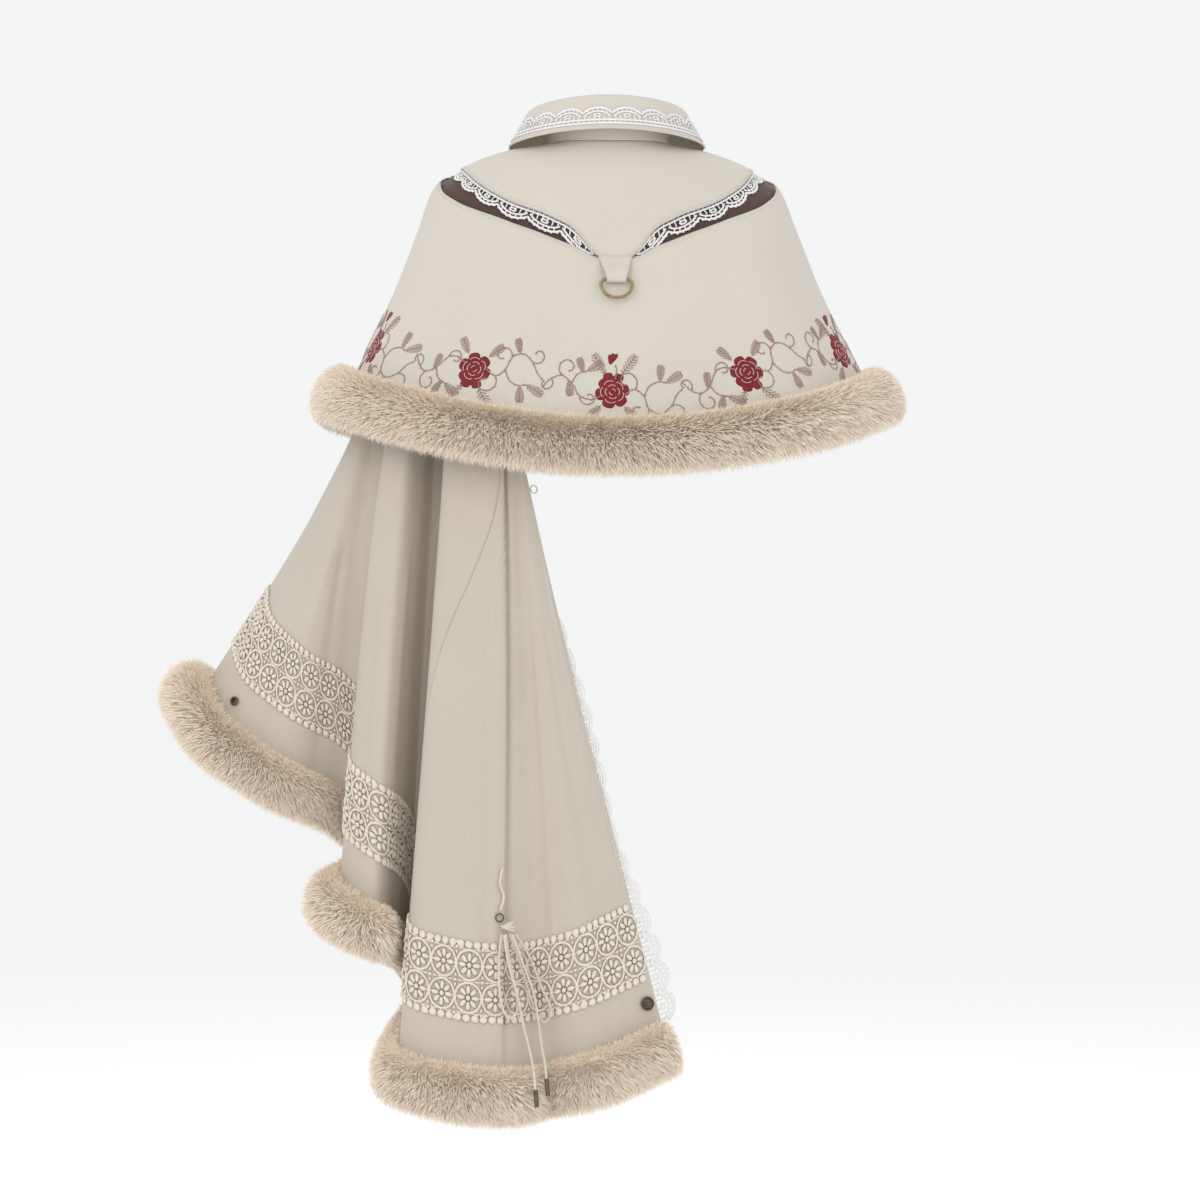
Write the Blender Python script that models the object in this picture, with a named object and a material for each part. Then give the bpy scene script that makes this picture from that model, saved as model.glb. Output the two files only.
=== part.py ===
"""Two-layer cape: a short upper cape with a turn-down collar, and a long half cape over the left arm.

The wearer faces +Y and stands along +Z, so the back of the cape faces -Y and the wearer's left is -X.
The origin is the middle of the neck seam, where the neck and shoulders hold the cape. Lengths are metres.
"""

import bisect
import math
from collections import namedtuple

import bmesh
import bpy
import numpy as np

# Cloth and seams
CLOTH = 0.0014
LACE = 0.0010
SEAM = 0.0003
LAYER_GAP = 0.0005
COLUMN_DEGREES = 6.0
SHARP_DEGREES = 50.0

# Upper cape: sections from the neck seam (share 0) to the hem (share 1)
Panel = namedtuple("Panel", "points normals")
Ring = namedtuple("Ring", "share half_width back_depth front_depth side_z back_z front_z")
CAPELET_RINGS = [
    Ring(0.00, 0.068, 0.062, 0.052, 0.000, 0.000, -0.042),
    Ring(0.15, 0.115, 0.085, 0.078, -0.008, -0.035, -0.072),
    Ring(0.30, 0.160, 0.106, 0.102, -0.026, -0.085, -0.108),
    Ring(0.42, 0.188, 0.124, 0.121, -0.046, -0.130, -0.143),
    Ring(0.55, 0.206, 0.143, 0.139, -0.090, -0.182, -0.187),
    Ring(0.70, 0.233, 0.162, 0.156, -0.160, -0.242, -0.240),
    Ring(0.85, 0.266, 0.180, 0.172, -0.230, -0.302, -0.293),
    Ring(1.00, 0.297, 0.197, 0.186, -0.298, -0.361, -0.345),
]
CAPELET_CORNER = 0.04
BACK_SEAM_ANGLE = 108.0
FRONT_EDGE_ANGLE = 179.6

# Soft flares that grow towards the upper cape's hem
Flare = namedtuple("Flare", "angle spread swell")
CAPELET_FLARES = [
    Flare(-152.0, 13.0, 0.010),
    Flare(-112.0, 12.0, 0.008),
    Flare(-66.0, 10.0, 0.006),
    Flare(-34.0, 9.0, 0.007),
    Flare(4.0, 11.0, 0.005),
    Flare(43.0, 10.0, 0.007),
    Flare(80.0, 11.0, 0.006),
    Flare(122.0, 12.0, 0.009),
    Flare(156.0, 11.0, 0.010),
]

# Edges of the crescent slits between yoke and body, as shares, by angle from the centre back
Slit = namedtuple("Slit", "angle yoke_edge body_edge")
SLIT_EDGES = [
    Slit(0.0, 0.436, 0.4385),
    Slit(6.0, 0.434, 0.4365),
    Slit(10.0, 0.390, 0.418),
    Slit(14.0, 0.352, 0.406),
    Slit(26.0, 0.330, 0.394),
    Slit(40.0, 0.332, 0.399),
    Slit(56.0, 0.322, 0.421),
    Slit(70.0, 0.307, 0.424),
    Slit(82.0, 0.301, 0.405),
    Slit(92.0, 0.300, 0.375),
    Slit(102.0, 0.301, 0.312),
    Slit(108.0, 0.302, 0.3045),
    Slit(180.0, 0.302, 0.3045),
]
SLIT_INNER_ANGLE = 6.5
SLIT_OUTER_ANGLE = 104.0
INSET_MARGIN = 0.022
SLIT_LACE_DEPTH = 0.048
SLIT_LACE_TUCK = 0.008
SLIT_LACE_UNDER = 0.0009
YOKE_STEPS = (0.0, 0.3, 0.6, 0.85, 1.0)
BODY_STEPS = (0.0, 0.06, 0.16, 0.32, 0.6, 1.0)
INSET_STEPS = (0.0, 0.33, 0.67, 1.0)
SLIT_SCALLOPS = 8
SCALLOP_STEPS = 3
SCALLOP_NOTCH = 0.38
SCALLOP_ROUNDNESS = 0.7

# Collar: from the neck seam up the stand, over the fold and down the fall
COLLAR_RINGS = [
    Ring(0.00, 0.0674, 0.0614, 0.0510, 0.0018, 0.0016, -0.0403),
    Ring(0.22, 0.0715, 0.0640, 0.0560, 0.022, 0.025, -0.021),
    Ring(0.40, 0.0770, 0.0675, 0.0620, 0.035, 0.042, -0.008),
    Ring(0.50, 0.0820, 0.0715, 0.0670, 0.039, 0.047, -0.005),
    Ring(0.60, 0.0870, 0.0750, 0.0730, 0.035, 0.043, -0.010),
    Ring(0.80, 0.0955, 0.0785, 0.0910, 0.019, 0.028, -0.031),
    Ring(1.00, 0.1065, 0.0820, 0.1090, 0.000, 0.011, -0.056),
]
COLLAR_CORNER = 0.02
COLLAR_END_ANGLE = 172.0
COLLAR_COLUMN_DEGREES = 10.0
COLLAR_ROWS = (0.0, 0.24, 0.42, 0.5, 0.58, 0.78, 1.0)
COLLAR_LACE_BASE = 0.955
COLLAR_LACE_PEAK = 0.73
COLLAR_SCALLOPS = 22

# Tab of the yoke, folded round the bar of the ring
TAB_TOP_Z = -0.124
TAB_TOP_HALF_WIDTH = 0.0200
TAB_END_HALF_WIDTH = 0.0105
TAB_BACK_RUN = 0.013
RING_BAR_Z = -0.160
RING_STANDOFF = 0.0066
RING_HALF_WIDTH = 0.0168
RING_DROP = 0.0210
RING_WIRE = 0.0033
BAR_CLEARANCE = 0.0004
RING_CORNER = 0.2
RING_ROUNDNESS = 0.8
RING_BAR_STEPS = 6
RING_BOW_STEPS = 6
BAR_SEARCH_STEPS = 200
TabRow = namedtuple("TabRow", "along bend_share")
TAB_LINE = [TabRow(1.0, 0.0), TabRow(0.78, 0.0), TabRow(0.45, 0.45), TabRow(0.2, 1.0)]
TAB_TURN_DEGREES = 30
WIRE_RESOLUTION = 2

# Fur trim: height on the cloth, reach below the hem, and how far it stands out
FUR_HEIGHT = 0.058
FUR_OVERHANG = 0.009
CAPELET_FUR_THICK = 0.034
FurRow = namedtuple("FurRow", "share fullness")
FUR_SECTION = [
    FurRow(0.00, 0.14),
    FurRow(0.19, 0.80),
    FurRow(0.55, 1.00),
    FurRow(0.86, 0.74),
    FurRow(1.00, 0.16),
]
FUR_END_FULLNESS = (0.45, 0.82)
FUR_END_REACH = 1.15
FUR_RISE = 2.0
VALLEY_FILL = 0.72
VALLEY_COLUMNS = 5

# Half cape: a row for each ridge and valley, from the front edge round the arm to the back edge.
# The waist is where a fold leaves the upper cape, and fur is how thick the trim is on that fold.
Fold = namedtuple("Fold", "name waist_x waist_y hem_x hem_y hem_z fur")
FOLDS = [
    Fold("front_edge", -0.100, 0.128, -0.090, 0.118, -0.830, 0.026),
    Fold("front_swell", -0.150, 0.122, -0.150, 0.142, -0.818, 0.026),
    Fold("front_dip", -0.190, 0.100, -0.212, 0.096, -0.790, 0.020),
    Fold("front_ridge", -0.225, 0.094, -0.282, 0.122, -0.752, 0.026),
    Fold("front_valley", -0.254, 0.072, -0.350, 0.074, -0.705, 0.022),
    Fold("arm_front", -0.280, 0.046, -0.428, 0.060, -0.648, 0.036),
    Fold("arm_side", -0.293, 0.000, -0.4565, 0.000, -0.622, 0.044),
    Fold("arm_back", -0.288, -0.032, -0.434, -0.054, -0.668, 0.038),
    Fold("side_panel", -0.276, -0.054, -0.366, -0.078, -0.716, 0.030),
    Fold("side_right", -0.258, -0.058, -0.302, -0.060, -0.748, 0.022),
    Fold("side_valley", -0.240, -0.072, -0.262, -0.084, -0.790, 0.010),
    Fold("tube_left", -0.246, -0.094, -0.296, -0.116, -0.838, 0.040),
    Fold("tube_mid", -0.224, -0.114, -0.262, -0.154, -0.868, 0.034),
    Fold("tube_right", -0.206, -0.098, -0.238, -0.108, -0.888, 0.012),
    Fold("deep_valley", -0.191, -0.076, -0.223, -0.068, -0.920, 0.006),
    Fold("flank", -0.175, -0.098, -0.212, -0.110, -0.976, 0.032),
    Fold("panel_left", -0.181, -0.138, -0.232, -0.178, -1.016, 0.028),
    Fold("broad", -0.151, -0.157, -0.173, -0.206, -1.033, 0.032),
    Fold("tie_fold", -0.1185, -0.162, -0.118, -0.200, -1.038, 0.032),
    Fold("back_valley", -0.1090, -0.154, -0.078, -0.174, -1.036, 0.026),
    Fold("back_swell", -0.1045, -0.153, -0.020, -0.184, -1.022, 0.030),
    Fold("back_edge", -0.1000, -0.150, 0.058, -0.150, -0.994, 0.028),
]
WAIST_Z = -0.350
WAIST_DROP = 0.32
HALF_TOP_SHARE = 0.40
HALF_TOP_FRONT_ANGLE = -138.0
HALF_TOP_BACK_ANGLE = -42.0
HALF_TOP_UNDER = 0.0075
HALF_STEPS = (0.0, 0.14, 0.28, 0.42, 0.58, 0.78, 1.0)
BAND_ROW = len(HALF_STEPS) - 1

# Seams of the half cape, as places along the row of folds at given drops
SeamPoint = namedtuple("SeamPoint", "drop place")
FRONT_SEAM = [SeamPoint(0.0, 4.5), SeamPoint(1.0, 4.5)]
BACK_SEAM = [
    SeamPoint(0.00, 17.45),
    SeamPoint(0.34, 17.75),
    SeamPoint(0.52, 16.35),
    SeamPoint(0.70, 15.75),
    SeamPoint(1.00, 15.60),
]
END_EASE = 6

# Guipure band: two rows of medallions, measured up from the hem
BAND_BOTTOM = 0.096
BAND_HEIGHT = 0.085
BAND_MIDDLE_DROP = 0.88
MEDALLION_ROWS = (0.31, 0.69)
MEDALLION_PITCH = 0.0275
MEDALLION_RADIUS = 0.0122
MEDALLION_RISE = 0.0016
MEDALLION_SIDES = 6
BAND_WALL = 0.0010
BAND_LIFT = CLOTH + 0.0007
BAND_MEASURE_STEPS = 400
MEDALLION_TURN = 0.75 * math.pi

# Lace under the back edge of the half cape: how far its scallops show past the edge
EdgeLace = namedtuple("EdgeLace", "drop reach")
EDGE_LACE = [
    EdgeLace(0.50, 0.003),
    EdgeLace(0.60, 0.011),
    EdgeLace(0.68, 0.009),
    EdgeLace(0.74, 0.004),
    EdgeLace(0.82, 0.016),
    EdgeLace(0.89, 0.024),
    EdgeLace(0.95, 0.022),
]
EDGE_LACE_TUCK = 0.007
EDGE_SCALLOPS = 14
EDGE_STEP = 0.05

# Fastenings on the half cape
StudPlace = namedtuple("StudPlace", "name place above_hem radius height")
STUDS = [
    StudPlace("press_stud_cap", 20.86, 0.0745, 0.0075, 0.0040),
    StudPlace("press_stud_socket", 7.02, 0.0710, 0.0050, 0.0030),
]
THREAD_LOOP_DROP = 0.355
THREAD_LOOP_REACH = 0.0085
THREAD_WIRE = 0.0014
STUD_SIDES = 10
STUD_LIFT = CLOTH + 3 * LAYER_GAP
LOOP_SIDES = 10
StudRow = namedtuple("StudRow", "radius height")
STUD_SECTION = [
    StudRow(0.0, 0.0),
    StudRow(1.0, 0.0),
    StudRow(1.0, 0.45),
    StudRow(0.8, 0.62),
    StudRow(0.55, 1.0),
    StudRow(0.0, 1.0),
]

# Tie at the fold: a cord out of the cloth, a ring, and a bow with two loops and two free ends
CORD = 0.0028
CORD_STEP = 2.6 * CORD
TiePoint = namedtuple("TiePoint", "x z lift")
ON_CLOTH, ON_BAND, OVER_LOOPS, ON_FUR = 0.0046, 0.0096, 0.0148, 0.0475
TIE_CORDS = {
    "tie_stem": [
        TiePoint(-0.1235, -0.7780, ON_CLOTH),
        TiePoint(-0.1262, -0.7930, ON_CLOTH),
        TiePoint(-0.1222, -0.8080, ON_CLOTH),
        TiePoint(-0.1260, -0.8222, ON_CLOTH),
    ],
    "tie_loop_left": [
        TiePoint(-0.1245, -0.8462, ON_BAND),
        TiePoint(-0.1275, -0.8700, ON_BAND),
        TiePoint(-0.1270, -0.9050, ON_BAND),
        TiePoint(-0.1225, -0.9265, ON_BAND),
        TiePoint(-0.1150, -0.9335, ON_BAND),
        TiePoint(-0.1080, -0.9255, ON_BAND),
        TiePoint(-0.1120, -0.8950, ON_BAND),
        TiePoint(-0.1180, -0.8650, ON_BAND),
        TiePoint(-0.1202, -0.8462, ON_BAND),
    ],
    "tie_loop_right": [
        TiePoint(-0.1165, -0.8462, ON_BAND),
        TiePoint(-0.1080, -0.8680, ON_BAND),
        TiePoint(-0.0965, -0.9050, ON_BAND),
        TiePoint(-0.0870, -0.9310, ON_BAND),
        TiePoint(-0.0790, -0.9410, ON_BAND),
        TiePoint(-0.0715, -0.9300, ON_BAND),
        TiePoint(-0.0815, -0.9050, ON_BAND),
        TiePoint(-0.0965, -0.8680, ON_BAND),
        TiePoint(-0.1110, -0.8455, ON_BAND),
    ],
    "tie_end_left": [
        TiePoint(-0.1224, -0.8466, OVER_LOOPS),
        TiePoint(-0.1180, -0.8750, OVER_LOOPS),
        TiePoint(-0.1085, -0.9100, OVER_LOOPS),
        TiePoint(-0.1010, -0.9450, OVER_LOOPS),
        TiePoint(-0.0955, -0.9680, 0.0280),
        TiePoint(-0.0922, -0.9870, 0.0440),
        TiePoint(-0.0905, -1.0060, ON_FUR),
    ],
    "tie_end_right": [
        TiePoint(-0.1138, -0.8464, OVER_LOOPS),
        TiePoint(-0.1030, -0.8750, OVER_LOOPS),
        TiePoint(-0.0905, -0.9100, OVER_LOOPS),
        TiePoint(-0.0855, -0.9400, OVER_LOOPS),
        TiePoint(-0.0825, -0.9640, 0.0250),
        TiePoint(-0.0800, -0.9810, 0.0410),
        TiePoint(-0.0788, -0.9954, ON_FUR),
    ],
}
TIE_EYELET = TiePoint(-0.1265, -0.8295, ON_CLOTH)
TIE_EYELET_RADIUS = 0.0042
TIE_EYELET_WIRE = 0.0016
TIE_KNOT = TiePoint(-0.1180, -0.8390, 0.0095)
TIE_KNOT_HALF_SIZES = (0.0090, 0.0058, 0.0055)
TIP_LENGTH = 0.0180
TIP_RADIUS = 0.0024
TIP_SIDES = 8
TIE_PLACES = (17.2, 21.0)
BISECTIONS = 24
TIE_LOWEST_DROP = 1.1
KNOT_SUBDIVISIONS = 2

Finish = namedtuple("Finish", "red green blue roughness metallic")
FINISHES = {
    "ivory_cloth": Finish(0.72, 0.67, 0.59, 0.85, 0.0),
    "beige_cloth": Finish(0.58, 0.52, 0.44, 0.88, 0.0),
    "brown_cloth": Finish(0.13, 0.075, 0.058, 0.90, 0.0),
    "white_lace": Finish(0.84, 0.83, 0.80, 0.80, 0.0),
    "guipure_lace": Finish(0.66, 0.60, 0.50, 0.85, 0.0),
    "beige_fur": Finish(0.73, 0.57, 0.43, 0.95, 0.0),
    "antique_brass": Finish(0.36, 0.25, 0.12, 0.38, 1.0),
    "dark_metal": Finish(0.16, 0.13, 0.10, 0.42, 1.0),
    "cream_cord": Finish(0.70, 0.64, 0.54, 0.80, 0.0),
}


def clear_scene():
    for thing in list(bpy.data.objects):
        bpy.data.objects.remove(thing, do_unlink=True)


def make_materials():
    materials = {}
    for name, finish in FINISHES.items():
        material = bpy.data.materials.new(name)
        material.use_nodes = True
        shader = material.node_tree.nodes["Principled BSDF"]
        shader.inputs["Base Color"].default_value = (finish.red, finish.green, finish.blue, 1.0)
        shader.inputs["Roughness"].default_value = finish.roughness
        shader.inputs["Metallic"].default_value = finish.metallic
        materials[name] = material
    return materials


def unit(vector):
    return vector / np.linalg.norm(vector)


def smooth_through(knots, values, at):
    """Value at a place on a smooth curve that passes through the values at rising knots."""
    last = len(knots) - 1
    left = min(max(bisect.bisect_right(knots, at) - 1, 0), last - 1)

    def slope(knot):
        low, high = max(knot - 1, 0), min(knot + 1, last)
        return (values[high] - values[low]) / (knots[high] - knots[low])

    span = knots[left + 1] - knots[left]
    t = (at - knots[left]) / span
    start = values[left] * (2 * t**3 - 3 * t**2 + 1) + slope(left) * span * (t**3 - 2 * t**2 + t)
    end = values[left + 1] * (3 * t**2 - 2 * t**3) + slope(left + 1) * span * (t**3 - t**2)
    return start + end


def straight_through(rows, column, at):
    """Value of one table column at a place given by the table's first column."""
    return float(np.interp(at, [row[0] for row in rows], [row[column] for row in rows]))


def ring_point(rings, corner, angle, share):
    """Point of a garment section: angle from the centre back, share from the table's first ring."""
    knots = [ring.share for ring in rings]
    sizes = [np.array(ring[1:]) for ring in rings]
    half_width, back_depth, front_depth, side_z, back_z, front_z = smooth_through(knots, sizes, share)
    turn = math.radians(angle)
    across, along = math.sin(turn), math.cos(turn)
    square = 1.0 + corner * math.sin(2 * turn) ** 2
    depth = back_depth if along > 0 else front_depth
    end_z = back_z if along > 0 else front_z
    height = side_z + (end_z - side_z) * along**2
    return np.array((half_width * across * square, -depth * along * square, height))


def capelet_surface(angle, share):
    point = ring_point(CAPELET_RINGS, CAPELET_CORNER, angle, share)
    swell = 0.0
    for flare in CAPELET_FLARES:
        away = (angle - flare.angle) / flare.spread
        swell += flare.swell * math.exp(-away * away) * max(share, 0.0) ** 3
    outward_turn = math.radians(angle)
    return point + swell * np.array((math.sin(outward_turn), -math.cos(outward_turn), 0.0))


def collar_surface(angle, share):
    return ring_point(COLLAR_RINGS, COLLAR_CORNER, angle, share)


def fold_line_points():
    """Top, waist and hem point of each fold line of the half cape."""
    lines = []
    for number, fold in enumerate(FOLDS):
        part_way = number / (len(FOLDS) - 1)
        angle = HALF_TOP_FRONT_ANGLE + (HALF_TOP_BACK_ANGLE - HALF_TOP_FRONT_ANGLE) * part_way
        under = outward(capelet_surface, angle, HALF_TOP_SHARE) * HALF_TOP_UNDER
        top = capelet_surface(angle, HALF_TOP_SHARE) - under
        waist = np.array((fold.waist_x, fold.waist_y, WAIST_Z))
        hem = np.array((fold.hem_x, fold.hem_y, fold.hem_z))
        lines.append((top, waist, hem))
    return lines


def half_surface(place, drop):
    """Point of the half cape: place along the row of folds, drop from its top edge to its hem."""
    knots = (0.0, WAIST_DROP, 1.0)
    near = range(max(int(place) - 2, 0), min(int(place) + 4, len(FOLDS)))
    across = [smooth_through(knots, FOLD_LINES[number], drop) for number in near]
    return smooth_through(list(near), across, place)


def outward(surface, u, v, step=0.004):
    """Direction out of a cloth surface, to the side that shows."""
    along_u = surface(u + step, v) - surface(u - step, v)
    along_v = surface(u, v + step) - surface(u, v - step)
    return unit(np.cross(along_v, along_u))


def drop_above_hem(place, distance):
    """Drop of the half cape's point that lies a distance above its hem, or below it if negative."""
    run = np.linalg.norm(half_surface(place, 1.0) - half_surface(place, WAIST_DROP))
    return 1.0 - distance * (1.0 - WAIST_DROP) / run


def share_above_hem(angle, distance):
    """Share of the upper cape's point that lies a distance above its hem, or below it if negative."""
    step = 0.1
    run = np.linalg.norm(capelet_surface(angle, 1.0) - capelet_surface(angle, 1.0 - step))
    return 1.0 - distance * step / run


def panel_of(surface, grid):
    """Points of a grid of (u, v) places on a cloth surface, and the way out of the cloth at each."""
    points = np.array([[surface(u, v) for u, v in column] for column in grid])
    normals = np.array([[outward(surface, u, v) for u, v in column] for column in grid])
    return Panel(points, normals)


def on_panel(panel, row, across, down, lift):
    """Point on the flat triangles of a panel, moved out: across in columns, down from a row to the next."""
    column = min(max(int(across), 0), len(panel.points) - 2)
    x = across - column

    def blend(values):
        top_left, low_left = values[column][row], values[column][row + 1]
        top_right, low_right = values[column + 1][row], values[column + 1][row + 1]
        if down >= x:
            return top_left + (low_left - top_left) * down + (low_right - low_left) * x
        return top_left + (top_right - top_left) * x + (low_right - top_right) * down

    return blend(panel.points) + unit(blend(panel.normals)) * lift


def add_mesh(name, vertices, faces, material, location=(0.0, 0.0, 0.0)):
    mesh = bpy.data.meshes.new(name)
    mesh.from_pydata([tuple(vertex) for vertex in vertices], [], faces)
    shell = bmesh.new()
    shell.from_mesh(mesh)
    bmesh.ops.recalc_face_normals(shell, faces=shell.faces)
    shell.to_mesh(mesh)
    shell.free()
    mesh.shade_smooth()
    mesh.set_sharp_from_angle(angle=math.radians(SHARP_DEGREES))
    mesh.materials.append(material)
    thing = bpy.data.objects.new(name, mesh)
    thing.location = location
    bpy.context.scene.collection.objects.link(thing)
    return thing


def wall(name, outer, inner, material, location=(0.0, 0.0, 0.0)):
    """Closed wall between two matching grids of points: two faces and the rim that joins them."""
    columns, rows = len(outer), len(outer[0])
    count = columns * rows
    vertices = [point for grid in (outer, inner) for column in grid for point in column]
    faces = []
    for i in range(columns - 1):
        for j in range(rows - 1):
            a, b = i * rows + j, (i + 1) * rows + j
            faces += [(a, a + 1, b + 1), (a, b + 1, b)]
            faces += [(count + a, count + b + 1, count + a + 1), (count + a, count + b, count + b + 1)]
    border = [i * rows for i in range(columns)]
    border += [(columns - 1) * rows + j for j in range(1, rows)]
    border += [i * rows + rows - 1 for i in range(columns - 2, -1, -1)]
    border += [j for j in range(rows - 2, 0, -1)]
    for here, after in zip(border, border[1:] + border[:1]):
        if here < after:
            faces += [(here, after, count + after), (here, count + after, count + here)]
        else:
            faces += [(here, after, count + here), (after, count + after, count + here)]
    return add_mesh(name, vertices, faces, material, location)


def cloth(name, surface, grid, material, low=0.0, high=CLOTH):
    panel = panel_of(surface, grid)
    wall(name, panel.points + panel.normals * high, panel.points + panel.normals * low, material)
    return panel


def raised(name, outer, inner, material):
    """Closed wall with a plain inner face of two rows, joined to the outer face's first and last rows."""
    columns, rows = len(outer), len(outer[0])
    count = columns * rows
    vertices = [point for column in outer for point in column] + [point for pair in inner for point in pair]
    faces = []
    for i in range(columns - 1):
        for j in range(rows - 1):
            a, b = i * rows + j, (i + 1) * rows + j
            faces += [(a, a + 1, b + 1), (a, b + 1, b)]
    faces += plain_back(columns, rows, count)
    return add_mesh(name, vertices, faces, material)


def plain_back(columns, rows, count):
    """Inner face of a raised wall, its rims and its two ends."""
    faces = []
    for i in range(columns - 1):
        top, low = count + 2 * i, count + 2 * i + 1
        next_top, next_low = top + 2, low + 2
        faces += [(top, next_low, low), (top, next_top, next_low)]
        first, last = i * rows, i * rows + rows - 1
        next_first, next_last = first + rows, last + rows
        faces += [(first, next_first, next_top), (first, next_top, top)]
        faces += [(last, low, next_low), (last, next_low, next_last)]
    for i in (0, columns - 1):
        end = [i * rows + j for j in range(rows)] + [count + 2 * i + 1, count + 2 * i]
        faces.append(tuple(end))
    return faces


def angles_between(start, end, step_degrees=COLUMN_DEGREES):
    count = max(2, round(abs(end - start) / step_degrees))
    return [start + (end - start) * step / count for step in range(count + 1)]


def slit_edge(column, angle):
    return straight_through(SLIT_EDGES, column, abs(angle))


def capelet_spans():
    """Back and two fronts of the upper cape, each a run of angles with a seam gap at its ends."""
    half_gap = math.degrees(0.5 * SEAM / CAPELET_RINGS[0].half_width)
    return {
        "back": (-BACK_SEAM_ANGLE + half_gap, BACK_SEAM_ANGLE - half_gap),
        "front_left": (-FRONT_EDGE_ANGLE, -BACK_SEAM_ANGLE - half_gap),
        "front_right": (BACK_SEAM_ANGLE + half_gap, FRONT_EDGE_ANGLE),
    }


def make_capelet(materials):
    free_ends = {"back": (), "front_left": (0,), "front_right": (-1,)}
    for name, (start, end) in capelet_spans().items():
        angles = angles_between(start, end)
        yoke = [[(a, slit_edge(1, a) * step) for step in YOKE_STEPS] for a in angles]
        cloth("yoke_" + name, capelet_surface, yoke, materials["ivory_cloth"])
        body = []
        for a in angles:
            top, fur_top = slit_edge(2, a), share_above_hem(a, FUR_HEIGHT)
            body.append([(a, top + (fur_top - top) * step) for step in BODY_STEPS] + [(a, 1.0)])
        panel = cloth("capelet_" + name, capelet_surface, body, materials["ivory_cloth"])
        places = [float(column) for column in range(len(angles))]
        thicknesses = [CAPELET_FUR_THICK] * len(angles)
        for end in free_ends[name]:
            thicknesses[end] *= FUR_END_FULLNESS[0]
            thicknesses[1 if end == 0 else -2] *= FUR_END_FULLNESS[1]
        fur_strip("capelet_fur_" + name, panel, places, thicknesses, materials["beige_fur"])


def fit_valleys(panel, places, thicknesses):
    """Fur thicknesses held down where near columns of a hem lean towards each other."""
    held = list(thicknesses)
    columns = [min(max(round(place), 0), len(panel.points) - 1) for place in places]
    for number, column in enumerate(columns):
        for other in range(number + 1, min(number + 1 + VALLEY_COLUMNS, len(columns))):
            step = (panel.points[columns[other]][-1] - panel.points[column][-1])[:2]
            leaning = (panel.normals[column][-1] - panel.normals[columns[other]][-1])[:2]
            lean = np.dot(leaning, step)
            if lean > 0.0:
                limit = VALLEY_FILL * np.dot(step, step) / lean
                held[number], held[other] = min(held[number], limit), min(held[other], limit)
    return held


def fur_strip(name, panel, places, thicknesses, material):
    """Fur on the outer face of a hem, over the last row of a panel and a little below it."""
    row, base = len(panel.points[0]) - 2, CLOTH + LAYER_GAP
    reach = (FUR_HEIGHT + FUR_OVERHANG) / FUR_HEIGHT
    outer, inner = [], []
    for place, thick in zip(places, fit_valleys(panel, places, thicknesses)):
        outer.append([on_panel(panel, row, place, reach * part.share, base + thick * part.fullness)
                      for part in FUR_SECTION])
        inner.append([on_panel(panel, row, place, down, base) for down in (0.0, reach)])
    raised(name, outer, inner, material)


def scallop(phase):
    """Depth of a scalloped edge, 1 at the middle of a scallop, less at the notches."""
    return 1.0 - SCALLOP_NOTCH * (1.0 - abs(math.sin(math.pi * phase)) ** SCALLOP_ROUNDNESS)


def make_slits(materials):
    """Dark inset under each crescent slit, and the scalloped lace that lies on it below the yoke."""
    for side, name in ((-1.0, "left"), (1.0, "right")):
        low, high = sorted((side * SLIT_INNER_ANGLE, side * SLIT_OUTER_ANGLE))
        inset = []
        for angle in angles_between(low, high):
            top, bottom = slit_edge(1, angle) - INSET_MARGIN, slit_edge(2, angle) + INSET_MARGIN
            inset.append([(angle, top + (bottom - top) * step) for step in INSET_STEPS])
        inset_top = -SLIT_LACE_UNDER - LACE - SLIT_LACE_UNDER
        cloth("inset_" + name, capelet_surface, inset, materials["brown_cloth"], inset_top - CLOTH, inset_top)
        lace = []
        steps = SLIT_SCALLOPS * SCALLOP_STEPS
        for step in range(steps + 1):
            angle = low + (high - low) * step / steps
            top = slit_edge(1, angle) - SLIT_LACE_TUCK
            reach = slit_edge(1, angle) + SLIT_LACE_DEPTH * scallop(step / SCALLOP_STEPS)
            bottom = min(reach, slit_edge(2, angle) + SLIT_LACE_TUCK)
            lace.append([(angle, top + (bottom - top) * share) for share in (0.0, 0.5, 1.0)])
        lace_low = -SLIT_LACE_UNDER - LACE
        cloth("inset_lace_" + name, capelet_surface, lace, materials["white_lace"], lace_low, lace_low + LACE)


def make_collar(materials):
    angles = angles_between(-COLLAR_END_ANGLE, COLLAR_END_ANGLE, COLLAR_COLUMN_DEGREES)
    grid = [[(a, share) for share in COLLAR_ROWS] for a in angles]
    cloth("collar", collar_surface, grid, materials["ivory_cloth"])
    lace = []
    steps = COLLAR_SCALLOPS * SCALLOP_STEPS
    end_angle = COLLAR_END_ANGLE - COLUMN_DEGREES / 2
    for step in range(steps + 1):
        angle = end_angle * (2.0 * step / steps - 1.0)
        rise = (COLLAR_LACE_BASE - COLLAR_LACE_PEAK) * scallop(step / SCALLOP_STEPS)
        lace.append([(angle, COLLAR_LACE_BASE - rise * share) for share in (1.0, 0.0)])
    low = CLOTH + LAYER_GAP
    cloth("collar_lace", collar_surface, lace, materials["white_lace"], low, low + LACE)


def ring_frame():
    """Middle of the ring's bar, and the directions down and out of the cloth there."""
    shares = np.linspace(CAPELET_RINGS[3].share, CAPELET_RINGS[5].share, BAR_SEARCH_STEPS)
    heights = [capelet_surface(0.0, share)[2] for share in shares]
    share = float(np.interp(-RING_BAR_Z, [-height for height in heights], shares))
    out = outward(capelet_surface, 0.0, share)
    down = np.array((0.0, out[2], -out[1]))
    if down[2] > 0:
        down = -down
    return capelet_surface(0.0, share) + out * RING_STANDOFF, down, out


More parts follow.
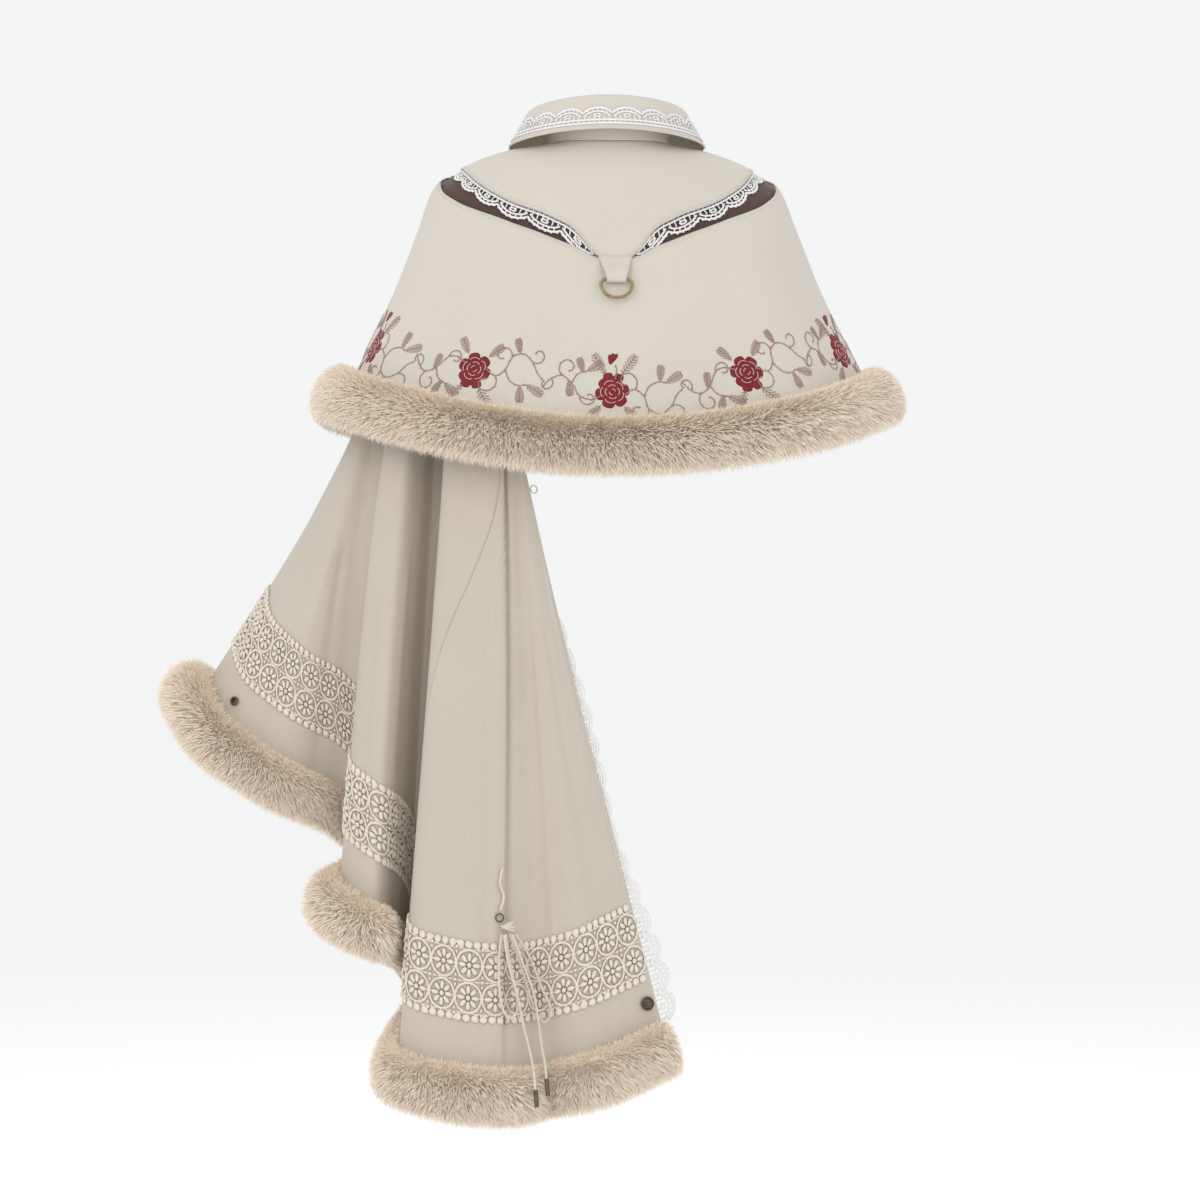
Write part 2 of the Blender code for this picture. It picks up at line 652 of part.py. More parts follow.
def make_tab_and_ring(materials):
    centre, down, out = ring_frame()
    bend = RING_WIRE / 2 + BAR_CLEARANCE + CLOTH / 2
    run = RING_BAR_Z - TAB_TOP_Z
    yoke_top = capelet_surface(0.0, SLIT_EDGES[0].yoke_edge)
    rest = float(np.dot(yoke_top - centre, out)) + CLOTH + LAYER_GAP + CLOTH / 2
    lowest = RING_STANDOFF - CLOTH - LAYER_GAP - CLOTH / 2
    path = [(run * row.along, bend * row.bend_share + rest * (1.0 - row.bend_share)) for row in TAB_LINE]
    path += [(bend * math.sin(math.radians(turn)), bend * math.cos(math.radians(turn)))
             for turn in range(0, 181, TAB_TURN_DEGREES)]
    path += [(-TAB_BACK_RUN * 0.5, -0.5 * (bend + lowest)), (-TAB_BACK_RUN, -lowest)]
    outer, inner = [], []
    for number, (along, away) in enumerate(path):
        before, after = path[max(number - 1, 0)], path[min(number + 1, len(path) - 1)]
        step = unit(np.array((after[0] - before[0], after[1] - before[1])))
        normal = step[0] * out - step[1] * down
        share = min(max(along / run, 0.0), 1.0) if number < len(TAB_LINE) else 0.0
        half = TAB_END_HALF_WIDTH + (TAB_TOP_HALF_WIDTH - TAB_END_HALF_WIDTH) * share
        middle = centre + down * along + out * away
        sides = [middle + np.array((half * side, 0.0, 0.0)) for side in (-1.0, 0.0, 1.0)]
        outer.append([point + normal * CLOTH / 2 for point in sides])
        inner.append([point - normal * CLOTH / 2 for point in sides])
    wall("ring_tab", outer, inner, materials["ivory_cloth"])
    outline = [(-RING_HALF_WIDTH + 2 * RING_HALF_WIDTH * step / RING_BAR_STEPS, 0.0)
               for step in range(1, RING_BAR_STEPS)]
    corner = RING_CORNER * RING_DROP
    for turn in np.linspace(0.0, math.pi / 2, RING_BOW_STEPS + 1):
        across = RING_HALF_WIDTH * math.cos(turn) ** RING_ROUNDNESS
        outline.append((across, corner + (RING_DROP - corner) * math.sin(turn)))
    outline += [(-x, y) for x, y in reversed(outline[RING_BAR_STEPS - 1:-1])]
    tube("d_ring", [down * y + np.array((x, 0.0, 0.0)) for x, y in outline], RING_WIRE,
         materials["antique_brass"], cyclic=True, location=centre)


def tube(name, points, diameter, material, cyclic=False, location=(0.0, 0.0, 0.0)):
    """Round wire or cord along a run of points."""
    curve = bpy.data.curves.new(name, "CURVE")
    curve.dimensions = "3D"
    curve.bevel_depth = diameter / 2
    curve.bevel_resolution = WIRE_RESOLUTION
    curve.use_fill_caps = True
    spline = curve.splines.new("POLY")
    spline.points.add(len(points) - 1)
    for target, point in zip(spline.points, points):
        target.co = (*point, 1.0)
    spline.use_cyclic_u = cyclic
    curve.materials.append(material)
    thing = bpy.data.objects.new(name, curve)
    thing.location = location
    bpy.context.scene.collection.objects.link(thing)
    return thing


def seam_place(seam, drop, side):
    """Place of a seam edge at a drop, half the seam gap to one side of the seam's own line."""
    knots = [point.drop for point in seam]
    place = smooth_through(knots, [point.place for point in seam], drop) if len(seam) > 2 else seam[0].place
    if side == 0.0:
        return place
    step = 0.01
    width = np.linalg.norm(half_surface(place + step, drop) - half_surface(place - step, drop)) / (2 * step)
    return place + side * 0.5 * SEAM / width


def half_panels():
    """Edges of the three gores of the half cape, each a pair of functions of the drop."""
    last = len(FOLDS) - 1.0
    return {
        "front": (lambda drop: 0.0, lambda drop: seam_place(FRONT_SEAM, drop, -1.0)),
        "side": (lambda drop: seam_place(FRONT_SEAM, drop, 1.0),
                 lambda drop: seam_place(BACK_SEAM, drop, -1.0)),
        "back": (lambda drop: seam_place(BACK_SEAM, drop, 1.0), lambda drop: last),
    }


def band_columns(start, end):
    """Shares across a gore that lie half a medallion apart along the guipure band."""
    drop = BAND_MIDDLE_DROP
    low, high = start(drop), end(drop)
    shares = np.linspace(0.0, 1.0, BAND_MEASURE_STEPS)
    points = [half_surface(low + (high - low) * share, drop) for share in shares]
    steps = [np.linalg.norm(after - before) for before, after in zip(points, points[1:])]
    length = np.concatenate(([0.0], np.cumsum(steps)))
    medallions = max(2, round(length[-1] / MEDALLION_PITCH))
    return [float(np.interp(length[-1] * step / (2 * medallions), length, shares))
            for step in range(2 * medallions + 1)]


def gore_place(edges, share, drop):
    """Place of a column of a gore: down the folds, and along a slanted end seam only close to it."""
    start, end = edges
    low, high = start(1.0), end(1.0)
    place = low + (high - low) * share
    return place + (start(drop) - low) * (1.0 - share) + (end(drop) - high) * share**END_EASE


def fur_depth(place):
    """Thickness of the half cape's fur at a place, low for longer beside the valleys."""
    left = min(int(place), len(FOLDS) - 2)
    part_way, before, after = place - left, FOLDS[left].fur, FOLDS[left + 1].fur
    if before < after:
        return before + (after - before) * part_way**FUR_RISE
    return after + (before - after) * (1.0 - part_way)**FUR_RISE


def make_half_cape(materials):
    free_ends = {"front": (0,), "side": (), "back": (-1,)}
    for name, edges in half_panels().items():
        shares = band_columns(*edges)
        grid, thicknesses = [], []
        for share in shares:
            hem_place = gore_place(edges, share, 1.0)
            band_top = drop_above_hem(hem_place, BAND_BOTTOM + BAND_HEIGHT)
            drops = [band_top * step for step in HALF_STEPS]
            drops += [drop_above_hem(hem_place, BAND_BOTTOM), drop_above_hem(hem_place, FUR_HEIGHT), 1.0]
            grid.append([(gore_place(edges, share, drop), drop) for drop in drops])
            thicknesses.append(fur_depth(hem_place))
        panel = cloth("half_cape_" + name, half_surface, grid, materials["beige_cloth"])
        half_band("half_band_" + name, panel, materials["guipure_lace"])
        places = [float(column) for column in range(len(shares))]
        for end in free_ends[name]:
            beyond = len(places) if end else 0
            places.insert(beyond, places[end] + (FUR_END_REACH if end else -FUR_END_REACH))
            thicknesses.insert(beyond, thicknesses[end] * FUR_END_FULLNESS[0])
        fur_strip("half_fur_" + name, panel, places, thicknesses, materials["beige_fur"])
    make_edge_lace(panel, [drop for place, drop in grid[-1]], materials["white_lace"])


def half_band(name, panel, material):
    """Guipure band: a wall with a raised ring for each medallion in its outer points, plain inside."""
    row, columns, flat = BAND_ROW, len(panel.points), BAND_LIFT + BAND_WALL
    downs = (0.0, 0.5, 1.0)
    rows = len(downs)
    vertices = [on_panel(panel, row, column, down, flat) for column in range(columns) for down in downs]
    count = len(vertices)
    vertices += [on_panel(panel, row, column, down, BAND_LIFT)
                 for column in range(columns) for down in (0.0, 1.0)]
    faces = plain_back(columns, rows, count)
    half_wide = MEDALLION_RADIUS / (MEDALLION_PITCH / 2)
    half_tall = MEDALLION_RADIUS / BAND_HEIGHT
    for i in range(0, columns - 2, 2):
        for j, middle in enumerate(MEDALLION_ROWS):
            corner = i * rows + j
            rim = [corner, corner + rows, corner + 2 * rows]
            rim += [corner + 2 * rows + 1, corner + rows + 1, corner + 1]
            first = len(vertices)
            for side in range(MEDALLION_SIDES):
                turn = 2 * math.pi * (side + 0.5) / MEDALLION_SIDES - MEDALLION_TURN
                across, down = i + 1 + half_wide * math.cos(turn), middle + half_tall * math.sin(turn)
                vertices.append(on_panel(panel, row, across, down, flat + MEDALLION_RISE))
            vertices.append(on_panel(panel, row, i + 1, middle, flat + MEDALLION_RISE / 3))
            ring = list(range(first, first + MEDALLION_SIDES))
            hub = first + MEDALLION_SIDES
            faces += stitch(rim, ring)
            faces += [(ring[side], ring[(side + 1) % MEDALLION_SIDES], hub)
                      for side in range(MEDALLION_SIDES)]
    add_mesh(name, vertices, faces, material)


def stitch(rim, ring):
    """Triangles between a closed rim and a closed ring inside it, both counted the same way round."""
    faces = []
    outer_step, inner_step = 0, 0
    while outer_step < len(rim) or inner_step < len(ring):
        a, b = rim[outer_step % len(rim)], ring[inner_step % len(ring)]
        outer_share, inner_share = (outer_step + 0.5) / len(rim), (inner_step + 0.5) / len(ring)
        if inner_step >= len(ring) or (outer_step < len(rim) and outer_share <= inner_share):
            outer_step += 1
            faces.append((a, rim[outer_step % len(rim)], b))
        else:
            inner_step += 1
            faces.append((a, ring[inner_step % len(ring)], b))
    return faces


def make_edge_lace(panel, edge_drops, material):
    """Scalloped lace sewn under the last edge of a panel, peeking out past it."""
    steps = EDGE_SCALLOPS * SCALLOP_STEPS
    outer, inner = [], []
    for step in range(steps + 1):
        drop = EDGE_LACE[0].drop + (EDGE_LACE[-1].drop - EDGE_LACE[0].drop) * step / steps
        row = min(max(bisect.bisect_right(edge_drops, drop) - 1, 0), len(edge_drops) - 2)
        down = (drop - edge_drops[row]) / (edge_drops[row + 1] - edge_drops[row])

        def along_edge(values):
            return values[row] + (values[row + 1] - values[row]) * down

        edge = along_edge(panel.points[-1])
        out = unit(along_edge(panel.normals[-1]))
        across = unit(edge - along_edge(panel.points[-2]))
        reach = straight_through(EDGE_LACE, 1, drop) * scallop(step / SCALLOP_STEPS)
        places = [edge - across * EDGE_LACE_TUCK, edge + across * reach]
        outer.append([point - out * LAYER_GAP for point in places])
        inner.append([point - out * (LAYER_GAP + LACE) for point in places])
    wall("edge_lace", outer, inner, material)


def turned(name, profile, centre, axis, material, sides):
    """Round piece from (radius, height) points; the first and last points lie on the axis."""
    side_way = unit(np.cross(axis, np.eye(3)[np.argmin(np.abs(axis))]))
    other_way = np.cross(axis, side_way)
    vertices = [centre + axis * profile[0][1], centre + axis * profile[-1][1]]
    rings = []
    for radius, height in profile[1:-1]:
        rings.append(list(range(len(vertices), len(vertices) + sides)))
        for side in range(sides):
            turn = 2 * math.pi * side / sides
            round_way = side_way * math.cos(turn) + other_way * math.sin(turn)
            vertices.append(centre + axis * height + round_way * radius)
    faces = []
    for side in range(sides):
        after = (side + 1) % sides
        faces.append((0, rings[0][side], rings[0][after]))
        faces.append((1, rings[-1][after], rings[-1][side]))
        for low, high in zip(rings, rings[1:]):
            faces.append((low[side], high[side], high[after], low[after]))
    return add_mesh(name, vertices, faces, material)


def make_fastenings(materials):
    for stud in STUDS:
        drop = drop_above_hem(stud.place, stud.above_hem)
        out = outward(half_surface, stud.place, drop)
        base = half_surface(stud.place, drop) + out * STUD_LIFT
        profile = [(stud.radius * part.radius, stud.height * part.height) for part in STUD_SECTION]
        turned(stud.name, profile, base, out, materials["dark_metal"], STUD_SIDES)
    last = len(FOLDS) - 1.0
    edge = half_surface(last, THREAD_LOOP_DROP)
    across = unit(edge - half_surface(last - EDGE_STEP, THREAD_LOOP_DROP))
    along = unit(half_surface(last, THREAD_LOOP_DROP + EDGE_STEP) - edge)
    start = edge + across * (THREAD_WIRE + LAYER_GAP)
    radius = THREAD_LOOP_REACH / 2
    loop = [start + across * radius * (1 - math.cos(turn)) + along * radius * math.sin(turn)
            for turn in np.linspace(0.0, 2 * math.pi, LOOP_SIDES + 1)[:-1]]
    tube("thread_loop", loop, THREAD_WIRE, materials["cream_cord"], cyclic=True)


def half_place_at(x, z):
    """Place and drop on the half cape's back panel of the point with a given x and z."""
    low, high = TIE_PLACES
    for _ in range(BISECTIONS):
        place = (low + high) / 2
        top, bottom = WAIST_DROP, TIE_LOWEST_DROP
        for _ in range(BISECTIONS):
            drop = (top + bottom) / 2
            if half_surface(place, drop)[2] > z:
                top = drop
            else:
                bottom = drop
        if half_surface(place, drop)[0] < x:
            low = place
        else:
            high = place
    return place, drop


def over_half_cape(spot):
    """Point a lift above the half cape's back panel, and the way out of the cloth there."""
    place, drop = half_place_at(spot.x, spot.z)
    return half_surface(place, drop) + np.array((0.0, -spot.lift, 0.0)), outward(half_surface, place, drop)


def cord_line(spots):
    """Even run of points on a smooth curve through chosen spots above the half cape."""
    points = [over_half_cape(spot)[0] for spot in spots]
    steps = [np.linalg.norm(after - before) for before, after in zip(points, points[1:])]
    knots = [0.0] + list(np.cumsum(steps))
    count = round(knots[-1] / CORD_STEP)
    return [smooth_through(knots, points, knots[-1] * step / count) for step in range(count + 1)]


def make_tie(materials):
    for name, spots in TIE_CORDS.items():
        line = cord_line(spots)
        tube(name, line, CORD, materials["cream_cord"])
        if name.startswith("tie_end"):
            along = unit(line[-1] - line[-2])
            profile = [(0.0, 0.0), (TIP_RADIUS, 0.0), (TIP_RADIUS, TIP_LENGTH), (0.0, TIP_LENGTH)]
            tip_name = name.replace("end", "tip")
            turned(tip_name, profile, line[-1] + along * SEAM, along, materials["dark_metal"], TIP_SIDES)
    centre, out = over_half_cape(TIE_EYELET)
    side = unit(np.cross(out, np.array((0.0, 0.0, 1.0))))
    upward = np.cross(side, out)
    ring = [centre + TIE_EYELET_RADIUS * (side * math.cos(turn) + upward * math.sin(turn))
            for turn in np.linspace(0.0, 2 * math.pi, LOOP_SIDES + 1)[:-1]]
    tube("tie_eyelet", ring, TIE_EYELET_WIRE, materials["dark_metal"], cyclic=True)
    make_knot(materials)


def make_knot(materials):
    """Knot of the bow as a smooth egg over the cloth."""
    centre, out = over_half_cape(TIE_KNOT)
    side = unit(np.cross(out, np.array((0.0, 0.0, 1.0))))
    ways = (side, np.cross(side, out), out)
    shell = bmesh.new()
    bmesh.ops.create_icosphere(shell, subdivisions=KNOT_SUBDIVISIONS, radius=1.0)
    shell.verts.ensure_lookup_table()
    vertices = []
    for vertex in shell.verts:
        offset = sum(part * size * way for part, size, way in zip(vertex.co, TIE_KNOT_HALF_SIZES, ways))
        vertices.append(centre + offset)
    faces = [tuple(corner.index for corner in face.verts) for face in shell.faces]
    shell.free()
    add_mesh("tie_knot", vertices, faces, materials["cream_cord"])


clear_scene()
FOLD_LINES = fold_line_points()
finishes = make_materials()
make_collar(finishes)
make_capelet(finishes)
make_slits(finishes)
make_tab_and_ring(finishes)
make_half_cape(finishes)
make_fastenings(finishes)
make_tie(finishes)
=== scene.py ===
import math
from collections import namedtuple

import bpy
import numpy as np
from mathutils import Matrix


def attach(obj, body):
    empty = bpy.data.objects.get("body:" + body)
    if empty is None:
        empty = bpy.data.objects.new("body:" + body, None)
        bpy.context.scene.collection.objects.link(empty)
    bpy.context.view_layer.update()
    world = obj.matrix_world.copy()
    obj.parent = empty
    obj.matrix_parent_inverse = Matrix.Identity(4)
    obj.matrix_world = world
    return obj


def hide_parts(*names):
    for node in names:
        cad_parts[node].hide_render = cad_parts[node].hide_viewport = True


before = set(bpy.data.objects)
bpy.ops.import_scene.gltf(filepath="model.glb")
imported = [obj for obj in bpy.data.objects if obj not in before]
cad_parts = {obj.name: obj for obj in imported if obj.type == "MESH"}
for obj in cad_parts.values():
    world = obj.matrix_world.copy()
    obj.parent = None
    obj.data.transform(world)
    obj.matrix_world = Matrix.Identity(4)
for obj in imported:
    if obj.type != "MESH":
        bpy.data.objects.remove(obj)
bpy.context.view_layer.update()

# %% [markdown]
# # A two-layer cape
# The garment is a short bell-shaped cape with a turn-down collar, and a long half cape that hangs
# from under it over the left arm. The solids of the part give every wall its place. Here each wall
# is dressed: thin cloth with creases, lace made of threads, fur made of strands, and real finishes.

BODY = "cape"

# %% [markdown]
# ## Camera, light and floor
# The cape is seen from behind, level with its middle, from four metres away. A long lens keeps the
# hem and collar free of distortion. Cloth and fur need broad soft light, so a pale sky does most of
# the work, one large panel from the upper left models the folds, and two others fill and rim them.

# %% Camera
CAMERA_AT = (-0.2867, -3.9903, -0.498)
CAMERA_LOOKS_AT = (-0.0077, 0.0, -0.498)
LENS_MM, SENSOR_MM = 109.09, 36.0


def point_at(thing, target):
    """Turn a camera or light so that it looks at a point."""
    way = np.array(target) - np.array(thing.location)
    level = math.hypot(way[0], way[1])
    thing.rotation_euler = (math.pi / 2 + math.atan2(way[2], level), 0.0, math.atan2(-way[0], way[1]))


def placed(name, data):
    """A new object of the scene with its data."""
    thing = bpy.data.objects.new(name, data)
    bpy.context.scene.collection.objects.link(thing)
    return thing


camera = placed("camera", bpy.data.cameras.new("camera"))
camera.location = CAMERA_AT
point_at(camera, CAMERA_LOOKS_AT)
camera.data.lens = LENS_MM
camera.data.sensor_width = SENSOR_MM
bpy.context.scene.camera = camera
print("camera", [round(value, 3) for value in camera.rotation_euler])

# %% Light and floor
Panel = namedtuple("Panel", "name place size power")
LIGHTS = [
    Panel("window", (-2.2, -2.6, 1.9), 2.6, 26.0),
    Panel("fill", (1.4, -3.2, -0.2), 3.0, 11.0),
    Panel("rim", (0.4, 2.8, 1.6), 2.4, 14.0),
]
LIGHTS_LOOK_AT = (0.0, 0.0, -0.45)
SKY_COLOUR, SKY_STRENGTH = (0.945, 0.948, 0.955, 1.0), 0.96
FLOOR_Z, FLOOR_HALF = -1.42, 40.0
FLOOR_TONES = (0.990, 0.990, 0.991, 1.0), (0.998, 0.998, 0.999, 1.0)


def new_finish(name):
    """A material with its node tree and its main shader."""
    material = bpy.data.materials.new(name)
    material.use_nodes = True
    return material, material.node_tree, material.node_tree.nodes["Principled BSDF"]


def fill(tree, node, inputs):
    """Set or link the inputs of a node by number or name."""
    for key, value in dict(inputs).items():
        if isinstance(value, bpy.types.NodeSocket):
            tree.links.new(value, node.inputs[key])
        else:
            node.inputs[key].default_value = value


def add_node(tree, kind, inputs=(), **settings):
    """Add a node, set its properties and fill its inputs."""
    node = tree.nodes.new(kind)
    for key, value in settings.items():
        setattr(node, key, value)
    fill(tree, node, inputs)
    return node


for light in LIGHTS:
    lamp = placed(light.name, bpy.data.lights.new(light.name, "AREA"))
    lamp.location = light.place
    lamp.data.size = light.size
    lamp.data.energy = light.power
    point_at(lamp, LIGHTS_LOOK_AT)
world = bpy.data.worlds.new("studio")
world.use_nodes = True
sky = world.node_tree.nodes["Background"]
fill(world.node_tree, sky, {"Color": SKY_COLOUR, "Strength": SKY_STRENGTH})
bpy.context.scene.world = world
bpy.context.scene.view_settings.view_transform = "Standard"

floor_finish, tree, shader = new_finish("floor_paper")
grain = add_node(tree, "ShaderNodeTexNoise", {"Scale": 3.0, "Detail": 3.0})
tones = {"Factor": grain.outputs["Fac"], 6: FLOOR_TONES[0], 7: FLOOR_TONES[1]}
tint = add_node(tree, "ShaderNodeMix", tones, data_type="RGBA")
fill(tree, shader, {"Base Color": tint.outputs[2], "Roughness": 0.9, "Specular IOR Level": 0.0})
floor_mesh = bpy.data.meshes.new("floor")
corners = ((-1.0, -1.0), (1.0, -1.0), (1.0, 1.0), (-1.0, 1.0))
corners = [(x * FLOOR_HALF, y * FLOOR_HALF, FLOOR_Z) for x, y in corners]
floor_mesh.from_pydata(corners, [], [(0, 1, 2, 3)])
floor_mesh.materials.append(floor_finish)
floor = placed("floor", floor_mesh)
print("lights:", len(LIGHTS))

# %% [markdown]
# ## The cut of the cape
# A garment surface can be worked out from a few sections. The short cape is a stack of rounded rings
# from neck to hem. The half cape is a row of fold lines, each with a point at its top, at the waist
# and at the hem. Smooth curves run through them, so a place on the cloth needs only two numbers.

# %% Smooth curves through a table
CLOTH = 0.0014
LACE = 0.0010


def weights_through(knots, at):
    """Share of each knot's value in a smooth curve through all of them, at given places."""
    knots, at = np.asarray(knots, float), np.asarray(at, float)
    last = len(knots) - 1
    every = np.arange(last + 1)
    eye = np.eye(last + 1)
    low, high = np.maximum(every - 1, 0), np.minimum(every + 1, last)
    slopes = (eye[high] - eye[low]) / (knots[high] - knots[low])[:, None]
    left = np.clip(np.searchsorted(knots, at, side="right") - 1, 0, last - 1)
    span = (knots[left + 1] - knots[left])[..., None]
    t = (at - knots[left])[..., None] / span
    start = eye[left] * (2 * t**3 - 3 * t**2 + 1) + slopes[left] * span * (t**3 - 2 * t**2 + t)
    end = eye[left + 1] * (3 * t**2 - 2 * t**3) + slopes[left + 1] * span * (t**3 - t**2)
    return start + end


def column(rows, name):
    """One named value of every row of a table."""
    return np.array([getattr(row, name) for row in rows])


def run_along(points):
    """Distance of each point of a line from its start."""
    return np.concatenate(([0.0], np.cumsum(np.linalg.norm(np.diff(points, axis=0), axis=-1))))


# %% Sections of the short cape and the collar
Ring = namedtuple("Ring", "share half_width back_depth front_depth side_z back_z front_z")
CAPELET_RINGS = [
    Ring(0.00, 0.068, 0.062, 0.052, 0.000, 0.000, -0.042),
    Ring(0.15, 0.115, 0.085, 0.078, -0.008, -0.035, -0.072),
    Ring(0.30, 0.160, 0.106, 0.102, -0.026, -0.085, -0.108),
    Ring(0.42, 0.188, 0.124, 0.121, -0.046, -0.130, -0.143),
    Ring(0.55, 0.206, 0.143, 0.139, -0.090, -0.182, -0.187),
    Ring(0.70, 0.233, 0.162, 0.156, -0.160, -0.242, -0.240),
    Ring(0.85, 0.266, 0.180, 0.172, -0.230, -0.302, -0.293),
    Ring(1.00, 0.297, 0.197, 0.186, -0.298, -0.361, -0.345),
]
CAPELET_CORNER = 0.04
Flare = namedtuple("Flare", "angle spread swell")
CAPELET_FLARES = [
    Flare(-152.0, 13.0, 0.010), Flare(-112.0, 12.0, 0.008), Flare(-66.0, 10.0, 0.006),
    Flare(-34.0, 9.0, 0.007), Flare(4.0, 11.0, 0.005), Flare(43.0, 10.0, 0.007),
    Flare(80.0, 11.0, 0.006), Flare(122.0, 12.0, 0.009), Flare(156.0, 11.0, 0.010),
]
COLLAR_RINGS = [
    Ring(0.00, 0.0674, 0.0614, 0.0510, 0.0018, 0.0016, -0.0403),
    Ring(0.22, 0.0715, 0.0640, 0.0560, 0.022, 0.025, -0.021),
    Ring(0.40, 0.0770, 0.0675, 0.0620, 0.035, 0.042, -0.008),
    Ring(0.50, 0.0820, 0.0715, 0.0670, 0.039, 0.047, -0.005),
    Ring(0.60, 0.0870, 0.0750, 0.0730, 0.035, 0.043, -0.010),
    Ring(0.80, 0.0955, 0.0785, 0.0910, 0.019, 0.028, -0.031),
    Ring(1.00, 0.1065, 0.0820, 0.1090, 0.000, 0.011, -0.056),
]
COLLAR_CORNER = 0.02


def ring_point(rings, corner, angle, share):
    """Point of a garment section: angle from the centre back, share from the table's first ring."""
    table = np.array(rings)
    sizes = weights_through(table[:, 0], share) @ table[:, 1:]
    half_width, back_depth, front_depth, side_z, back_z, front_z = np.moveaxis(sizes, -1, 0)
    turn = np.radians(angle)
    across, along = np.sin(turn), np.cos(turn)
    square = 1.0 + corner * np.sin(2 * turn) ** 2
    depth = np.where(along > 0, back_depth, front_depth)
    end_z = np.where(along > 0, back_z, front_z)
    height = side_z + (end_z - side_z) * along**2
    return np.stack((half_width * across * square, -depth * along * square, height), -1)


def capelet_surface(angle, share):
    angle, share = np.broadcast_arrays(np.asarray(angle, float), np.asarray(share, float))
    swell = sum(flare.swell * np.exp(-((angle - flare.angle) / flare.spread) ** 2)
                for flare in CAPELET_FLARES)
    swell = (swell * np.maximum(share, 0.0) ** 3)[..., None]
    turn = np.radians(angle)
    way = np.stack((np.sin(turn), -np.cos(turn), np.zeros_like(turn)), -1)
    return ring_point(CAPELET_RINGS, CAPELET_CORNER, angle, share) + swell * way


def collar_surface(angle, share):
    angle, share = np.broadcast_arrays(np.asarray(angle, float), np.asarray(share, float))
    return ring_point(COLLAR_RINGS, COLLAR_CORNER, angle, share)


def unit(vectors):
    return vectors / np.linalg.norm(vectors, axis=-1, keepdims=True)


def outward(surface, u, v, step=0.004):
    """Direction out of a cloth surface, to the side that shows."""
    along_u = surface(u + step, v) - surface(u - step, v)
    along_v = surface(u, v + step) - surface(u, v - step)
    return unit(np.cross(along_v, along_u))


# %% Fold lines of the half cape
Fold = namedtuple("Fold", "name waist_x waist_y hem_x hem_y hem_z fur")
FOLDS = [
    Fold("front_edge", -0.100, 0.128, -0.090, 0.118, -0.830, 0.026),
    Fold("front_swell", -0.150, 0.122, -0.150, 0.142, -0.818, 0.026),
    Fold("front_dip", -0.190, 0.100, -0.212, 0.096, -0.790, 0.020),
    Fold("front_ridge", -0.225, 0.094, -0.282, 0.122, -0.752, 0.026),
    Fold("front_valley", -0.254, 0.072, -0.350, 0.074, -0.705, 0.022),
    Fold("arm_front", -0.280, 0.046, -0.428, 0.060, -0.648, 0.036),
    Fold("arm_side", -0.293, 0.000, -0.4565, 0.000, -0.622, 0.044),
    Fold("arm_back", -0.288, -0.032, -0.434, -0.054, -0.668, 0.038),
    Fold("side_panel", -0.276, -0.054, -0.366, -0.078, -0.716, 0.030),
    Fold("side_right", -0.258, -0.058, -0.302, -0.060, -0.748, 0.022),
    Fold("side_valley", -0.240, -0.072, -0.262, -0.084, -0.790, 0.010),
    Fold("tube_left", -0.246, -0.094, -0.296, -0.116, -0.838, 0.040),
    Fold("tube_mid", -0.224, -0.114, -0.262, -0.154, -0.868, 0.034),
    Fold("tube_right", -0.206, -0.098, -0.238, -0.108, -0.888, 0.012),
    Fold("deep_valley", -0.191, -0.076, -0.223, -0.068, -0.920, 0.006),
    Fold("flank", -0.175, -0.098, -0.212, -0.110, -0.976, 0.032),
    Fold("panel_left", -0.181, -0.138, -0.232, -0.178, -1.016, 0.028),
    Fold("broad", -0.151, -0.157, -0.173, -0.206, -1.033, 0.032),
    Fold("tie_fold", -0.1185, -0.162, -0.118, -0.200, -1.038, 0.032),
    Fold("back_valley", -0.1090, -0.154, -0.078, -0.174, -1.036, 0.026),
    Fold("back_swell", -0.1045, -0.153, -0.020, -0.184, -1.022, 0.030),
    Fold("back_edge", -0.1000, -0.150, 0.058, -0.150, -0.994, 0.028),
]
LAST_PLACE = len(FOLDS) - 1.0
WAIST_Z = -0.350
WAIST_DROP = 0.32
HALF_TOP_SHARE = 0.40
HALF_TOP_ANGLES = (-138.0, -42.0)
HALF_TOP_UNDER = 0.0075

top_angles = np.linspace(*HALF_TOP_ANGLES, len(FOLDS))
half_top = capelet_surface(top_angles, HALF_TOP_SHARE)
half_top = half_top - outward(capelet_surface, top_angles, HALF_TOP_SHARE) * HALF_TOP_UNDER
half_waist = [(fold.waist_x, fold.waist_y, WAIST_Z) for fold in FOLDS]
half_hem = np.array([(fold.hem_x, fold.hem_y, fold.hem_z) for fold in FOLDS])
FOLD_LINES = np.stack((half_top, half_waist, half_hem), 1)


def half_surface(place, drop):
    """Point of the half cape: place along the row of folds, drop from its top edge to its hem."""
    place, drop = np.broadcast_arrays(np.asarray(place, float), np.asarray(drop, float))
    across = weights_through(np.arange(len(FOLDS)), place)
    down = weights_through((0.0, WAIST_DROP, 1.0), drop)
    return np.einsum("...p,...k,pkc->...c", across, down, FOLD_LINES)


def drop_above_hem(place, distance):
    """Drop of the half cape's point that lies a distance above its hem."""
    run = np.linalg.norm(half_surface(place, 1.0) - half_surface(place, WAIST_DROP), axis=-1)
    return 1.0 - distance * (1.0 - WAIST_DROP) / run


def share_above_hem(angle, distance):
    """Share of the short cape's point that lies a distance above its hem."""
    step = 0.1
    run = np.linalg.norm(capelet_surface(angle, 1.0) - capelet_surface(angle, 1.0 - step), axis=-1)
    return 1.0 - distance * step / run


print("hem of the half cape from", half_hem[:, 2].max(), "to", half_hem[:, 2].min())
